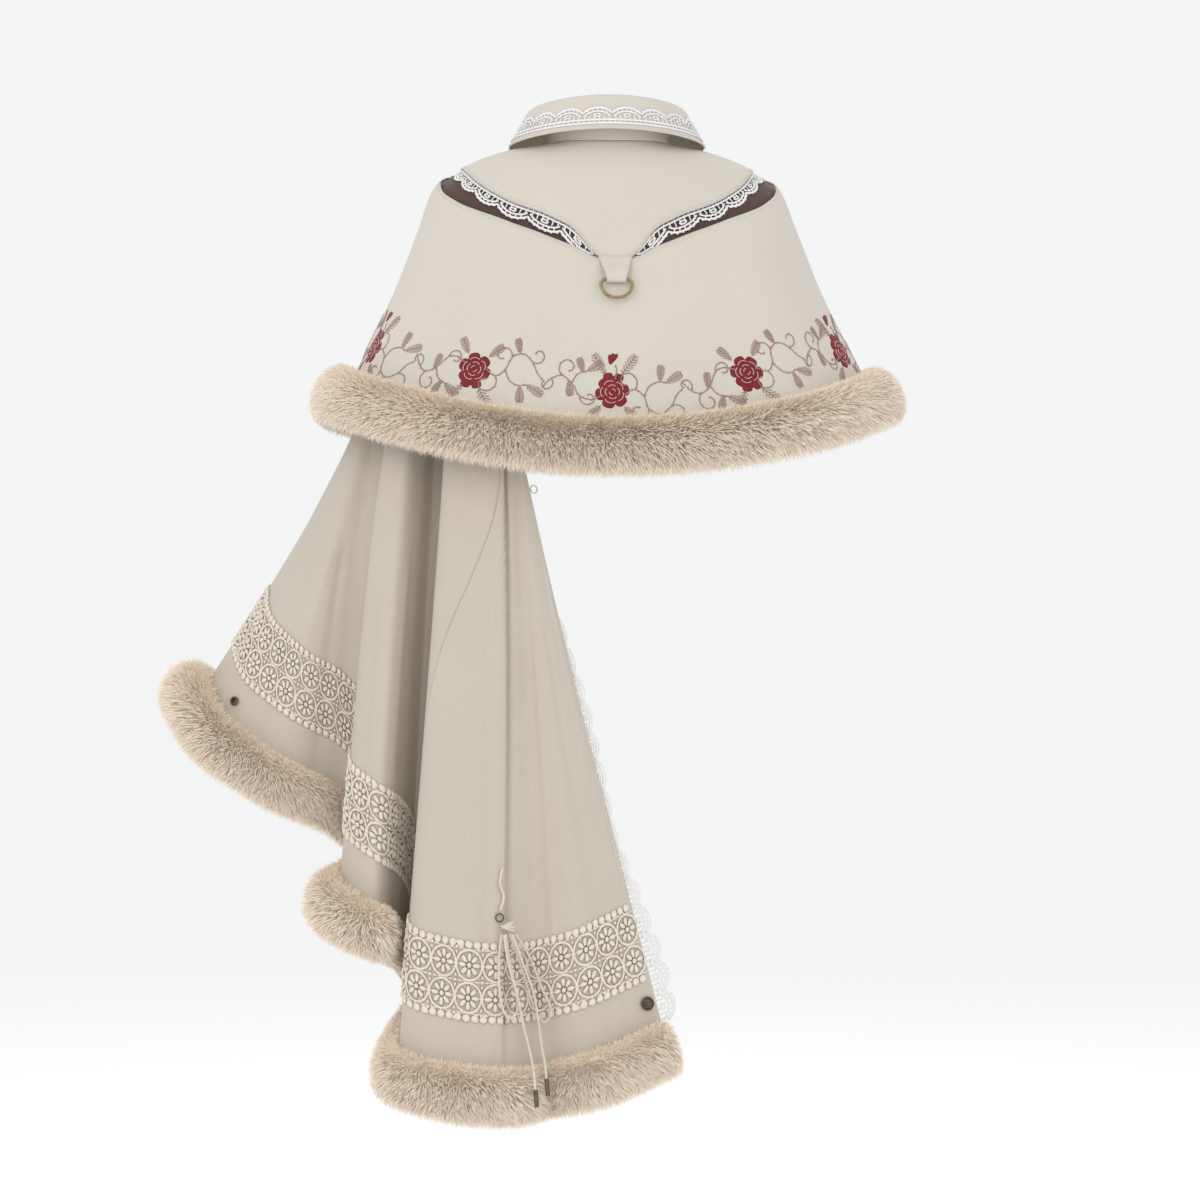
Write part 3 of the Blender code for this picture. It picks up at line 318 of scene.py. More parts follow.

# %% [markdown]
# ## Creases
# Cloth that hangs is never even. A crease is a soft trough or ridge with a place, a width, a depth
# and a start and end. Each one is listed on its own, so lengths and spacing stay as uneven as real ones.

# %% Creases of both layers
Crease = namedtuple("Crease", "u v_top v_end lean width depth")
CAPELET_CREASES = [
    Crease(-128.0, 0.45, 1.02, -4.0, 5.0, -0.0020), Crease(-92.0, 0.50, 1.02, -3.0, 4.5, -0.0022),
    Crease(-78.0, 0.36, 0.72, 3.0, 3.5, -0.0012), Crease(-52.0, 0.56, 1.02, -2.0, 5.0, -0.0018),
    Crease(-44.0, 0.45, 0.75, 5.0, 3.0, 0.0008), Crease(-17.0, 0.60, 1.02, -2.0, 5.5, -0.0015),
    Crease(-6.0, 0.48, 0.78, -3.0, 3.0, -0.0007), Crease(14.0, 0.50, 0.92, 6.0, 3.5, 0.0007),
    Crease(24.0, 0.58, 1.02, 2.0, 6.0, -0.0016), Crease(37.0, 0.46, 0.80, 9.0, 3.0, -0.0009),
    Crease(61.0, 0.52, 1.02, 3.0, 5.0, -0.0021), Crease(73.0, 0.38, 0.70, 4.0, 3.5, -0.0010),
    Crease(98.0, 0.48, 1.02, 3.0, 5.0, -0.0022), Crease(138.0, 0.45, 1.02, 3.0, 5.0, -0.0020),
]
HALF_CREASES = [
    Crease(0.55, 0.42, 1.00, 0.10, 0.16, -0.0018), Crease(1.60, 0.40, 0.92, -0.20, 0.20, -0.0016),
    Crease(3.40, 0.38, 0.90, 0.15, 0.18, 0.0014), Crease(5.45, 0.42, 0.96, -0.15, 0.16, -0.0022),
    Crease(6.30, 0.40, 0.82, 0.30, 0.14, -0.0018), Crease(7.45, 0.40, 0.97, 0.25, 0.16, -0.0024),
    Crease(7.95, 0.44, 0.78, -0.18, 0.12, 0.0016), Crease(8.50, 0.42, 0.95, 0.20, 0.14, -0.0020),
    Crease(9.35, 0.46, 0.88, -0.12, 0.12, 0.0012), Crease(11.50, 0.48, 0.94, 0.12, 0.12, -0.0014),
    Crease(12.50, 0.42, 0.80, -0.12, 0.14, 0.0012), Crease(16.55, 0.40, 0.93, 0.22, 0.12, -0.0016),
    Crease(17.05, 0.46, 0.86, 0.10, 0.10, 0.0010), Crease(17.45, 0.44, 0.98, 0.12, 0.10, -0.0014),
    Crease(17.68, 0.32, 0.98, 0.00, 0.12, 0.0010), Crease(19.45, 0.50, 0.90, -0.15, 0.13, 0.0012),
    Crease(20.35, 0.48, 0.96, 0.20, 0.14, -0.0016), Crease(20.80, 0.40, 0.72, -0.10, 0.10, 0.0009),
]
CREASE_END = 0.16
Pleat = namedtuple("Pleat", "u v_top v_end edge fall depth")
PLEAT = Pleat(17.90, 0.16, 0.99, 0.022, 0.60, 0.0120)


def faded(part_way):
    """Strength of a crease on its way down: none at its ends, full in between."""
    return np.clip(part_way / CREASE_END, 0.0, 1.0) * np.clip((1.0 - part_way) / CREASE_END, 0.0, 1.0)


def crease_height(creases, u, v):
    """How far the creases push the cloth out at a place, negative in a trough."""
    height = np.zeros(np.broadcast(u, v).shape)
    for crease in creases:
        part_way = (v - crease.v_top) / (crease.v_end - crease.v_top)
        fade = faded(part_way)
        fade = fade * fade * (3.0 - 2.0 * fade)
        middle = crease.u + crease.lean * (part_way - 0.5)
        height = height + crease.depth * fade * np.exp(-((u - middle) / crease.width) ** 2)
    return height


def pleat_height(u, v):
    """The pleat above the tie: beyond its edge the cloth steps back and slowly comes forward again."""
    part_way = (v - PLEAT.v_top) / (PLEAT.v_end - PLEAT.v_top)
    beyond = u - PLEAT.u
    step = 0.5 + 0.5 * np.tanh(beyond / PLEAT.edge)
    return -PLEAT.depth * faded(part_way) * step * np.exp(-np.maximum(beyond, 0.0) / PLEAT.fall)


def capelet_cloth(angle, share, lift=0.0):
    height = lift + crease_height(CAPELET_CREASES, angle, share)
    return capelet_surface(angle, share) + outward(capelet_surface, angle, share) * height[..., None]


def collar_cloth(angle, share, lift=0.0):
    angle, share, lift = np.broadcast_arrays(angle, share, lift)
    return collar_surface(angle, share) + outward(collar_surface, angle, share) * lift[..., None]


def half_cloth(place, drop, lift=0.0):
    height = lift + crease_height(HALF_CREASES, place, drop) + pleat_height(place, drop)
    return half_surface(place, drop) + outward(half_surface, place, drop) * height[..., None]


print("creases:", len(CAPELET_CREASES) + len(HALF_CREASES))

# %% [markdown]
# ## Finishes
# The cloth is a plain weave with thick and thin threads. Two fine wave patterns cross for the weave,
# long stretched noise gives the slubs, and broad noise varies the tone. All of it reads the UV map,
# which is laid out in metres, so the weave has one size on every panel and follows its grain.

# %% Cloth finishes
THREAD_PERIOD = 0.0011
WAVE_UNIT = 2 * math.pi / 20.0
SLUB_STRETCHES = (900.0, 26.0, 1.0), (26.0, 900.0, 1.0)


def uv_mapped(tree, scale):
    """UV coordinates in metres, stretched by a scale for each direction."""
    uv = add_node(tree, "ShaderNodeUVMap", uv_map="UVMap")
    mapping = add_node(tree, "ShaderNodeMapping", {"Vector": uv.outputs["UV"], "Scale": scale})
    return mapping.outputs["Vector"]


def mixed(tree, factor, first, second):
    """Colour between two colours or sockets."""
    return add_node(tree, "ShaderNodeMix", {0: factor, 6: first, 7: second}, data_type="RGBA").outputs[2]


def ranged(tree, value, low, high, out_low=0.0, out_high=1.0):
    """Value stretched from one range to another."""
    inputs = {0: value, 1: low, 2: high, 3: out_low, 4: out_high}
    return add_node(tree, "ShaderNodeMapRange", inputs).outputs[0]


def added(tree, *values):
    total = values[0]
    for value in values[1:]:
        total = add_node(tree, "ShaderNodeMath", {0: total, 1: value}, operation="ADD").outputs[0]
    return total


def scaled(tree, value, factor):
    return add_node(tree, "ShaderNodeMath", {0: value, 1: factor}, operation="MULTIPLY").outputs[0]


def noise(tree, place, scale, detail, roughness=0.5):
    """Noise of a given fineness at a place."""
    inputs = {"Vector": place, "Scale": scale, "Detail": detail, "Roughness": roughness}
    return add_node(tree, "ShaderNodeTexNoise", inputs).outputs["Fac"]


def bumped(tree, height, strength, distance):
    """Normals of a fine relief."""
    inputs = {"Height": height, "Strength": strength, "Distance": distance}
    return add_node(tree, "ShaderNodeBump", inputs).outputs["Normal"]


def cloth_finish(name, light, dark, roughness, sheen):
    """Woven cloth: crossing threads, slubs both ways and a slow change of tone."""
    material, tree, shader = new_finish(name)
    flat = uv_mapped(tree, (1.0, 1.0, 1.0))
    weave = {"Vector": flat, "Scale": WAVE_UNIT / THREAD_PERIOD, "Distortion": 0.6}
    threads = added(tree, *(add_node(tree, "ShaderNodeTexWave", weave, bands_direction=way).outputs["Fac"]
                            for way in "XY"))
    slubs = added(tree, *(noise(tree, uv_mapped(tree, stretch), 1.0, 3.0) for stretch in SLUB_STRETCHES))
    broad = noise(tree, flat, 9.0, 4.0)
    tone = added(tree, scaled(tree, slubs, 0.55), scaled(tree, broad, 0.55), scaled(tree, threads, 0.12))
    fill(tree, shader, {
        "Base Color": mixed(tree, ranged(tree, tone, 0.65, 1.15), (*dark, 1.0), (*light, 1.0)),
        "Roughness": ranged(tree, slubs, 0.6, 1.4, roughness - 0.05, roughness + 0.05),
        "Normal": bumped(tree, added(tree, scaled(tree, threads, 0.35), slubs), 0.22, 0.0006),
        "Sheen Weight": sheen, "Sheen Roughness": 0.5, "Specular IOR Level": 0.25})
    return material


ivory_weave = cloth_finish("ivory_weave", (0.660, 0.618, 0.548), (0.618, 0.575, 0.502), 0.86, 0.15)
beige_weave = cloth_finish("beige_weave", (0.585, 0.532, 0.456), (0.540, 0.487, 0.412), 0.88, 0.15)
brown_weave = cloth_finish("brown_weave", (0.100, 0.058, 0.046), (0.068, 0.038, 0.030), 0.90, 0.20)
print("cloth finishes:", ivory_weave.name, beige_weave.name, brown_weave.name)


# %% Thread, lace and cord finishes
def thread_finish(name, light, dark, roughness, scale, sheen=0.1):
    """Twisted or massed thread: fine uneven noise in colour, roughness and bump."""
    material, tree, shader = new_finish(name)
    place = add_node(tree, "ShaderNodeTexCoord").outputs["Object"]
    fine, broad = noise(tree, place, scale, 4.0, 0.6), noise(tree, place, scale / 16.0, 2.0)
    tone = added(tree, scaled(tree, fine, 0.7), scaled(tree, broad, 0.3))
    fill(tree, shader, {
        "Base Color": mixed(tree, ranged(tree, tone, 0.34, 0.66), (*dark, 1.0), (*light, 1.0)),
        "Roughness": ranged(tree, fine, 0.3, 0.7, roughness - 0.08, roughness + 0.06),
        "Normal": bumped(tree, fine, 0.35, 0.0004),
        "Sheen Weight": sheen, "Specular IOR Level": 0.3})
    return material


white_thread = thread_finish("white_thread", (0.90, 0.89, 0.87), (0.78, 0.77, 0.75), 0.80, 900.0)
guipure_thread = thread_finish("guipure_thread", (0.83, 0.77, 0.665), (0.72, 0.655, 0.545), 0.82, 800.0)
cream_cord = thread_finish("cream_cord_thread", (0.76, 0.70, 0.60), (0.62, 0.56, 0.46), 0.78, 1100.0)
print("thread finishes:", white_thread.name, guipure_thread.name, cream_cord.name)


# %% Metal finishes
def metal_finish(name, bright, dark, roughness):
    """Old plated metal: darker in its hollows, brighter where it is rubbed."""
    material, tree, shader = new_finish(name)
    place = add_node(tree, "ShaderNodeTexCoord").outputs["Object"]
    patina, spots = noise(tree, place, 260.0, 5.0), noise(tree, place, 1500.0, 2.0)
    edges = add_node(tree, "ShaderNodeNewGeometry").outputs["Pointiness"]
    wear = added(tree, patina, ranged(tree, edges, 0.46, 0.56, -0.2, 0.35))
    fill(tree, shader, {
        "Base Color": mixed(tree, ranged(tree, wear, 0.3, 0.8), (*dark, 1.0), (*bright, 1.0)),
        "Roughness": ranged(tree, spots, 0.3, 0.7, roughness - 0.08, roughness + 0.12),
        "Normal": bumped(tree, spots, 0.15, 0.0002),
        "Metallic": 1.0})
    return material


antique_brass = metal_finish("aged_brass", (0.42, 0.30, 0.15), (0.17, 0.11, 0.05), 0.36)
dark_pewter = metal_finish("aged_pewter", (0.17, 0.145, 0.115), (0.050, 0.040, 0.032), 0.42)
print("metal finishes:", antique_brass.name, dark_pewter.name)

# %% [markdown]
# ## Turning points into pieces
# Every piece is a plain mesh at the origin that rides on a body of the part. A few helpers make them:
# one adds a mesh with its finish, one closes a thin wall between two grids of points, and one sweeps
# a thread along a line.


# %% Helpers that make meshes
def new_mesh(name, vertices, faces):
    """A smooth mesh from points and the corners of its faces."""
    mesh = bpy.data.meshes.new(name)
    faces = [tuple(int(i) for i in face) for face in faces]
    mesh.from_pydata(np.asarray(vertices, float).tolist(), [], faces)
    mesh.shade_smooth()
    return mesh


def add_piece(name, vertices, faces, finish, slot, uv=None, body=BODY):
    """A finished mesh that moves with a body. The slot is not used."""
    mesh = new_mesh(name, vertices, faces)
    if uv is not None:
        corner = np.empty(len(mesh.loops), int)
        mesh.loops.foreach_get("vertex_index", corner)
        layer = mesh.uv_layers.new(name="UVMap")
        layer.data.foreach_set("uv", np.asarray(uv, float)[corner].ravel())
    mesh.materials.append(finish)
    thing = placed(name, mesh)
    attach(thing, body)
    return thing


def grid_faces(columns, rows, first=0, flip=False):
    """Quads of a grid whose points run down each column in turn."""
    i, j = np.meshgrid(np.arange(columns - 1), np.arange(rows - 1), indexing="ij")
    a = (first + i * rows + j).ravel()
    quads = np.stack((a, a + 1, a + rows + 1, a + rows), -1)
    return quads[:, ::-1] if flip else quads


def metres_along(points, axis):
    """Distance along a grid of points in one direction, from its middle."""
    steps = np.linalg.norm(np.diff(points, axis=axis), axis=-1)
    zero = np.zeros_like(np.take(steps, [0], axis=axis))
    run = np.concatenate((zero, np.cumsum(steps, axis=axis)), axis=axis)
    return run - np.take(run, [run.shape[axis] // 2], axis=axis)


def wall_between(outer, inner):
    """Vertices and faces of a closed wall between two grids of points."""
    columns, rows = outer.shape[:2]
    count = columns * rows
    number = np.arange(count).reshape(columns, rows)
    border = np.concatenate((number[:, 0], number[-1, 1:], number[-2::-1, -1], number[0, -2:0:-1]))
    after = np.roll(border, -1)
    rim = np.stack((border, after, count + after, count + border), -1)
    outside, inside = grid_faces(columns, rows), grid_faces(columns, rows, count, flip=True)
    vertices = np.concatenate((outer.reshape(-1, 3), inner.reshape(-1, 3)))
    return vertices, np.concatenate((outside, inside, rim))


def add_wall(name, outer, inner, finish, slot):
    """Closed thin wall between two grids of points, with a UV map in metres."""
    uv = np.stack((metres_along(outer, 0), metres_along(outer, 1)), -1).reshape(-1, 2)
    return add_piece(name, *wall_between(outer, inner), finish, slot, uv=np.concatenate((uv, uv)))


def flat_size(outer):
    """Width, length and area of a panel's cut, measured on its outer face."""
    across = np.linalg.norm(np.diff(outer, axis=0), axis=-1)
    down = np.linalg.norm(np.diff(outer, axis=1), axis=-1)
    one, two = outer[1:, 1:] - outer[:-1, :-1], outer[1:, :-1] - outer[:-1, 1:]
    area = 0.5 * np.linalg.norm(np.cross(one, two), axis=-1).sum()
    width, length = float(across.sum(0).max()), float(down.sum(1).max())
    return (round(width, 3), round(length, 3)), round(float(area), 4)


def cloth_panel(name, cloth, u, v, finish, slot, low=0.0, high=CLOTH):
    """A panel of cloth on a garment surface, which stands for the solid of the same name."""
    u, v = np.broadcast_arrays(u, v)
    outer = cloth(u, v, high)
    thing = add_wall(name + "_cloth", outer, cloth(u, v, low), finish, slot)
    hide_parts(name)
    return thing, flat_size(outer)


def frames_along(line, normals):
    """Directions to the side of a line and up from it, for lines of points on a surface."""
    along = unit(np.gradient(line, axis=0))
    side = unit(np.cross(normals, along))
    return side, unit(np.cross(along, side))


def section_ways(side, up, sides):
    """The sideways and upward part of the directions round a line, a ring of them for each point."""
    turn = 2 * math.pi * np.arange(sides) / sides
    return side[:, None] * np.cos(turn)[None, :, None], up[:, None] * np.sin(turn)[None, :, None]


def tube_faces(rings, sides, closed=False):
    """Faces of a row of rings: a loop if it is closed, or else a tube with a cap at each end."""
    faces = []
    for i in range(rings if closed else rings - 1):
        here, after = i * sides, (i + 1) % rings * sides
        for k in range(sides):
            beside = (k + 1) % sides
            faces.append((here + k, here + beside, after + beside, after + k))
    if not closed:
        last = (rings - 1) * sides
        faces += [tuple(range(sides - 1, -1, -1)), tuple(range(last, last + sides))]
    return faces


def swept(line, normals, half_width, half_height, sides=6):
    """Vertices and faces of a closed thread with an oval section along a line."""
    line, normals = np.asarray(line, float), np.asarray(normals, float)
    sideways, upward = section_ways(*frames_along(line, normals), sides)
    vertices = line[:, None] + (sideways * half_width + upward * half_height)
    return vertices.reshape(-1, 3), tube_faces(len(line), sides)


def joined(parts):
    """One list of vertices and one of faces from many small meshes."""
    vertices, faces, first = [], [], 0
    for points, corners in parts:
        vertices.append(points)
        faces += [tuple(corner + first for corner in face) for face in corners]
        first += len(points)
    return np.concatenate(vertices), faces


# %% [markdown]
# ## The tie
# A thin cream cord comes out of the fold, through a small eyelet, and is tied in a bow: two loops and
# two free ends with metal tips. Each length is one limp cord along the route of its solid. The cord is
# laid from three strands, so the section of the tube has three lobes that turn along its length.

# %% Routes of the cords
CORD = 0.0028
TiePoint = namedtuple("TiePoint", "x z lift")
ON_CLOTH, ON_BAND, OVER_LOOPS, ON_FUR = 0.0046, 0.0096, 0.0148, 0.0475


def at_lift(lift, *spots):
    """Points of a route that all lie the same height above the cloth."""
    return [TiePoint(x, z, lift) for x, z in spots]


TIE_CORDS = {
    "tie_stem": at_lift(
        ON_CLOTH, (-0.1235, -0.7780), (-0.1262, -0.7930), (-0.1222, -0.8080), (-0.1260, -0.8222)),
    "tie_loop_left": at_lift(
        ON_BAND, (-0.1245, -0.8462), (-0.1275, -0.8700), (-0.1270, -0.9050), (-0.1225, -0.9265),
        (-0.1150, -0.9335), (-0.1080, -0.9255), (-0.1120, -0.8950), (-0.1180, -0.8650), (-0.1202, -0.8462)),
    "tie_loop_right": at_lift(
        ON_BAND, (-0.1165, -0.8462), (-0.1080, -0.8680), (-0.0965, -0.9050), (-0.0870, -0.9310),
        (-0.0790, -0.9410), (-0.0715, -0.9300), (-0.0815, -0.9050), (-0.0965, -0.8680), (-0.1110, -0.8455)),
    "tie_end_left": at_lift(
        OVER_LOOPS, (-0.1224, -0.8466), (-0.1180, -0.8750), (-0.1085, -0.9100), (-0.1010, -0.9450),
    ) + [
        TiePoint(-0.0955, -0.9680, 0.0280), TiePoint(-0.0922, -0.9870, 0.0440),
        TiePoint(-0.0905, -1.0060, ON_FUR),
    ],
    "tie_end_right": at_lift(
        OVER_LOOPS, (-0.1138, -0.8464), (-0.1030, -0.8750), (-0.0905, -0.9100), (-0.0855, -0.9400),
    ) + [
        TiePoint(-0.0825, -0.9640, 0.0250), TiePoint(-0.0800, -0.9810, 0.0410),
        TiePoint(-0.0788, -0.9954, ON_FUR),
    ],
}
TIE_EYELET = TiePoint(-0.1265, -0.8295, ON_CLOTH)
TIE_KNOT = TiePoint(-0.1180, -0.8390, 0.0095)
TIE_PLACES = (17.2, 21.0)
TIE_LOWEST_DROP = 1.1
BISECTIONS = 24


def half_place_at(x, z):
    """Place and drop on the half cape's back panel of the point with a given x and z."""
    low, high = TIE_PLACES
    for _ in range(BISECTIONS):
        place = (low + high) / 2
        top, bottom = WAIST_DROP, TIE_LOWEST_DROP
        for _ in range(BISECTIONS):
            drop = (top + bottom) / 2
            if half_surface(place, drop)[2] > z:
                top = drop
            else:
                bottom = drop
        if half_surface(place, drop)[0] < x:
            low = place
        else:
            high = place
    return place, drop


def over_half_cape(spot):
    """Point a lift above the half cape's back panel, and the way out of the cloth there."""
    place, drop = half_place_at(spot.x, spot.z)
    return half_surface(place, drop) + np.array((0.0, -spot.lift, 0.0)), outward(half_surface, place, drop)


# %% Laid cords
CORD_LAY = 0.0095
CORD_LOBES = 3
CORD_GROOVE = 0.20
CORD_SIDES = 12
CORD_RING_STEP = 0.0009


def smooth_line(spots, step):
    """Even points on a smooth curve through chosen spots."""
    spots = np.asarray(spots, float)
    knots = run_along(spots)
    count = max(8, round(knots[-1] / step))
    return weights_through(knots, np.linspace(0.0, knots[-1], count + 1)) @ spots


def laid_cord(line, diameter, normals):
    """Vertices and faces of a cord with turning lobes, closed at both ends."""
    turn = 2 * math.pi * np.arange(CORD_SIDES) / CORD_SIDES
    phase = CORD_LOBES * (turn[None, :] - 2 * math.pi * run_along(line)[:, None] / (CORD_LAY * CORD_LOBES))
    radius = 0.5 * diameter * (1.0 - CORD_GROOVE * (0.5 - 0.5 * np.cos(phase)) ** 2)
    sideways, upward = section_ways(*frames_along(line, normals), CORD_SIDES)
    vertices = line[:, None] + (sideways + upward) * radius[..., None]
    return vertices.reshape(-1, 3), tube_faces(len(line), CORD_SIDES)


BACK_WAY = np.array((0.0, -1.0, 0.0))
cord_lines, cord_pieces = {}, {}
for name, spots in TIE_CORDS.items():
    line = smooth_line([over_half_cape(spot)[0] for spot in spots], CORD_RING_STEP)
    cord_lines[name] = line
    vertices, faces = laid_cord(line, CORD, np.broadcast_to(BACK_WAY, line.shape))
    cord_pieces[name] = add_piece(name + "_cord", vertices, faces, cream_cord, "cream_cord")
    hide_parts(name)
    print(name, "length", round(float(run_along(line)[-1]), 4))


# %% Eyelet, knot and tips
def lathe(profile, centre, axis, sides, relief=None):
    """Round piece from (radius, height) points about an axis; relief changes the height by the angle."""
    axis = unit(np.asarray(axis, float))
    side = unit(np.cross(axis, np.eye(3)[np.argmin(np.abs(axis))]))
    other = np.cross(axis, side)
    turn = 2 * math.pi * np.arange(sides) / sides
    rings = []
    for radius, height in profile:
        lift = height + (relief(radius, turn) if relief else 0.0) * np.ones(sides)
        ring = side * np.cos(turn)[:, None] * radius + other * np.sin(turn)[:, None] * radius
        rings.append(centre + ring + axis * lift[:, None])
    return np.concatenate(rings), tube_faces(len(profile), sides)


def ring_tube(points, normals, radius, sides=10):
    """Closed round wire along a closed line of points."""
    points, normals = np.asarray(points, float), np.asarray(normals, float)
    along = unit(np.roll(points, -1, axis=0) - np.roll(points, 1, axis=0))
    side = unit(np.cross(normals, along))
    sideways, upward = section_ways(side, np.cross(along, side), sides)
    vertices = points[:, None] + (sideways + upward) * radius
    return vertices.reshape(-1, 3), tube_faces(len(points), sides, closed=True)


def ways_at(out):
    """Directions to the side and up in the plane of the cloth."""
    side = unit(np.cross(out, np.array((0.0, 0.0, 1.0))))
    return side, np.cross(side, out)


LOOP_POINTS = 28
EYELET_RADIUS, EYELET_WIRE_RADIUS = 0.0042, 0.0008
eyelet_centre, eyelet_out = over_half_cape(TIE_EYELET)
eyelet_side, eyelet_up = ways_at(eyelet_out)
turns = np.linspace(0.0, 2 * math.pi, LOOP_POINTS + 1)[:-1, None]
eyelet_ring = eyelet_centre + EYELET_RADIUS * (eyelet_side * np.cos(turns) + eyelet_up * np.sin(turns))
eyelet_normals = np.broadcast_to(eyelet_out, eyelet_ring.shape)
eyelet = add_piece("eyelet_ring", *ring_tube(eyelet_ring, eyelet_normals, EYELET_WIRE_RADIUS), dark_pewter,
                   "dark_metal")
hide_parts("tie_eyelet")

knot_centre, knot_out = over_half_cape(TIE_KNOT)
knot_side, knot_up = ways_at(knot_out)
Wrap = namedtuple("Wrap", "lean half_width half_depth shift")
KNOT_WRAPS = [
    Wrap(0.35, 0.0060, 0.0036, -0.0020), Wrap(0.10, 0.0066, 0.0040, 0.0004),
    Wrap(-0.40, 0.0058, 0.0034, 0.0028),
]
wraps = []
for wrap in KNOT_WRAPS:
    leaning = knot_side * math.cos(wrap.lean) + knot_up * math.sin(wrap.lean)
    loop = knot_centre + knot_up * wrap.shift + leaning * np.cos(turns) * wrap.half_width
    loop = loop + knot_out * np.sin(turns) * wrap.half_depth
    across = unit(np.cross(leaning, knot_out))
    wraps.append(ring_tube(loop, np.broadcast_to(across, loop.shape), CORD / 2))
knot = add_piece("tie_knot_wraps", *joined(wraps), cream_cord, "cream_cord")
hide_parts("tie_knot")

TIP_LENGTH, TIP_RADIUS, TIP_SIDES = 0.0180, 0.0024, 20
TIP_LOOKS_BACK = 4
SIDES = {"left": -1.0, "right": 1.0}
TipRow = namedtuple("TipRow", "radius along")
TIP_ROWS = [TipRow(0.80, 0.0), TipRow(1.0, 0.03), TipRow(1.0, 0.12), TipRow(0.86, 0.16), TipRow(0.86, 0.22),
            TipRow(1.0, 0.26), TipRow(1.0, 0.80), TipRow(0.88, 0.84), TipRow(0.88, 0.88), TipRow(1.0, 0.91),
            TipRow(0.98, 0.97), TipRow(0.70, 1.0)]
for side_name in SIDES:
    line = cord_lines["tie_end_" + side_name]
    way = unit(line[-1] - line[-TIP_LOOKS_BACK])
    profile = [(TIP_RADIUS * row.radius, TIP_LENGTH * row.along) for row in TIP_ROWS]
    tip = lathe(profile, line[-1], way, TIP_SIDES)
    add_piece(f"tie_tip_{side_name}_metal", *tip, dark_pewter, "dark_metal")
    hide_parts("tie_tip_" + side_name)


print("cords:", len(cord_pieces))

# %% [markdown]
# ## Cloth panels
# Each panel is a thin closed wall on the surface of its own solid, with the creases pressed in. The
# grid is fine enough for the creases to shade softly. Panels are cut as in the solids: yoke, body,
# two fronts, collar, dark insets behind the slits, and three gores of the half cape.

# %% Edges of the slits and the panels of the short cape
Slit = namedtuple("Slit", "angle yoke_edge body_edge")
SLIT_EDGES = [
    Slit(0.0, 0.436, 0.4385), Slit(6.0, 0.434, 0.4365), Slit(10.0, 0.390, 0.418), Slit(14.0, 0.352, 0.406),
    Slit(26.0, 0.330, 0.394), Slit(40.0, 0.332, 0.399), Slit(56.0, 0.322, 0.421), Slit(70.0, 0.307, 0.424),
    Slit(82.0, 0.301, 0.405), Slit(92.0, 0.300, 0.375), Slit(102.0, 0.301, 0.312), Slit(108.0, 0.302, 0.3045),
    Slit(180.0, 0.302, 0.3045),
]
SEAM = 0.0003
SEAM_HALF_ANGLE = math.degrees(0.5 * SEAM / CAPELET_RINGS[0].half_width)
BACK_SEAM_ANGLE = 108.0
FRONT_EDGE_ANGLE = 179.6
CAPELET_SPANS = {
    "back": (-BACK_SEAM_ANGLE + SEAM_HALF_ANGLE, BACK_SEAM_ANGLE - SEAM_HALF_ANGLE, 150),
    "front_left": (-FRONT_EDGE_ANGLE, -BACK_SEAM_ANGLE - SEAM_HALF_ANGLE, 50),
    "front_right": (BACK_SEAM_ANGLE + SEAM_HALF_ANGLE, FRONT_EDGE_ANGLE, 50),
}
SLIT_ROUNDING, SLIT_ROUNDING_STEPS = 3.5, 9
YOKE_ROWS, BODY_ROWS = 24, 48


def slit_edge(name, angle):
    """Share of an edge of a slit at an angle, its corners rounded by averaging over a few degrees."""
    offsets = SLIT_ROUNDING * np.linspace(-1.0, 1.0, SLIT_ROUNDING_STEPS)
    near = [np.abs(angle + offset) for offset in offsets]
    angles, edges = column(SLIT_EDGES, "angle"), column(SLIT_EDGES, name)
    return np.mean([np.interp(at, angles, edges) for at in near], axis=0)


sheets = {}
for name, (start, end, count) in CAPELET_SPANS.items():
    angles = np.linspace(start, end, count)[:, None]
    shares = slit_edge("yoke_edge", angles) * np.linspace(0.0, 1.0, YOKE_ROWS)[None, :]
    node = "yoke_" + name
    sheets[node] = cloth_panel(node, capelet_cloth, angles, shares, ivory_weave, "ivory_cloth")
    top = slit_edge("body_edge", angles)
    shares = top + (1.0 - top) * np.linspace(0.0, 1.0, BODY_ROWS)[None, :]
    node = "capelet_" + name
    sheets[node] = cloth_panel(node, capelet_cloth, angles, shares, ivory_weave, "ivory_cloth")
print({name: size for name, (thing, size) in sheets.items()})

# %% Collar and the dark insets
COLLAR_END_ANGLE = 172.0
COLLAR_COLUMNS, COLLAR_ROWS = 120, 34
angles = np.linspace(-COLLAR_END_ANGLE, COLLAR_END_ANGLE, COLLAR_COLUMNS)[:, None]
shares = np.linspace(0.0, 1.0, COLLAR_ROWS)[None, :]
sheets["collar"] = cloth_panel("collar", collar_cloth, angles, shares, ivory_weave, "ivory_cloth")

SLIT_INNER_ANGLE, SLIT_OUTER_ANGLE = 6.5, 104.0
INSET_MARGIN = 0.022
SLIT_LACE_UNDER = 0.0009
INSET_TOP = -SLIT_LACE_UNDER - LACE - SLIT_LACE_UNDER
INSET_COLUMNS, INSET_ROWS = 60, 10
for side_name, side in SIDES.items():
    ends = sorted((side * SLIT_INNER_ANGLE, side * SLIT_OUTER_ANGLE))
    angles = np.linspace(*ends, INSET_COLUMNS)[:, None]
    top = slit_edge("yoke_edge", angles) - INSET_MARGIN
    low = slit_edge("body_edge", angles) + INSET_MARGIN
    shares = top + (low - top) * np.linspace(0.0, 1.0, INSET_ROWS)[None, :]
    node = "inset_" + side_name
    sheets[node] = cloth_panel(node, capelet_cloth, angles, shares, brown_weave, "brown_cloth",
                               INSET_TOP - CLOTH, INSET_TOP)
print("collar and insets:", sheets["collar"][1], sheets["inset_left"][1])

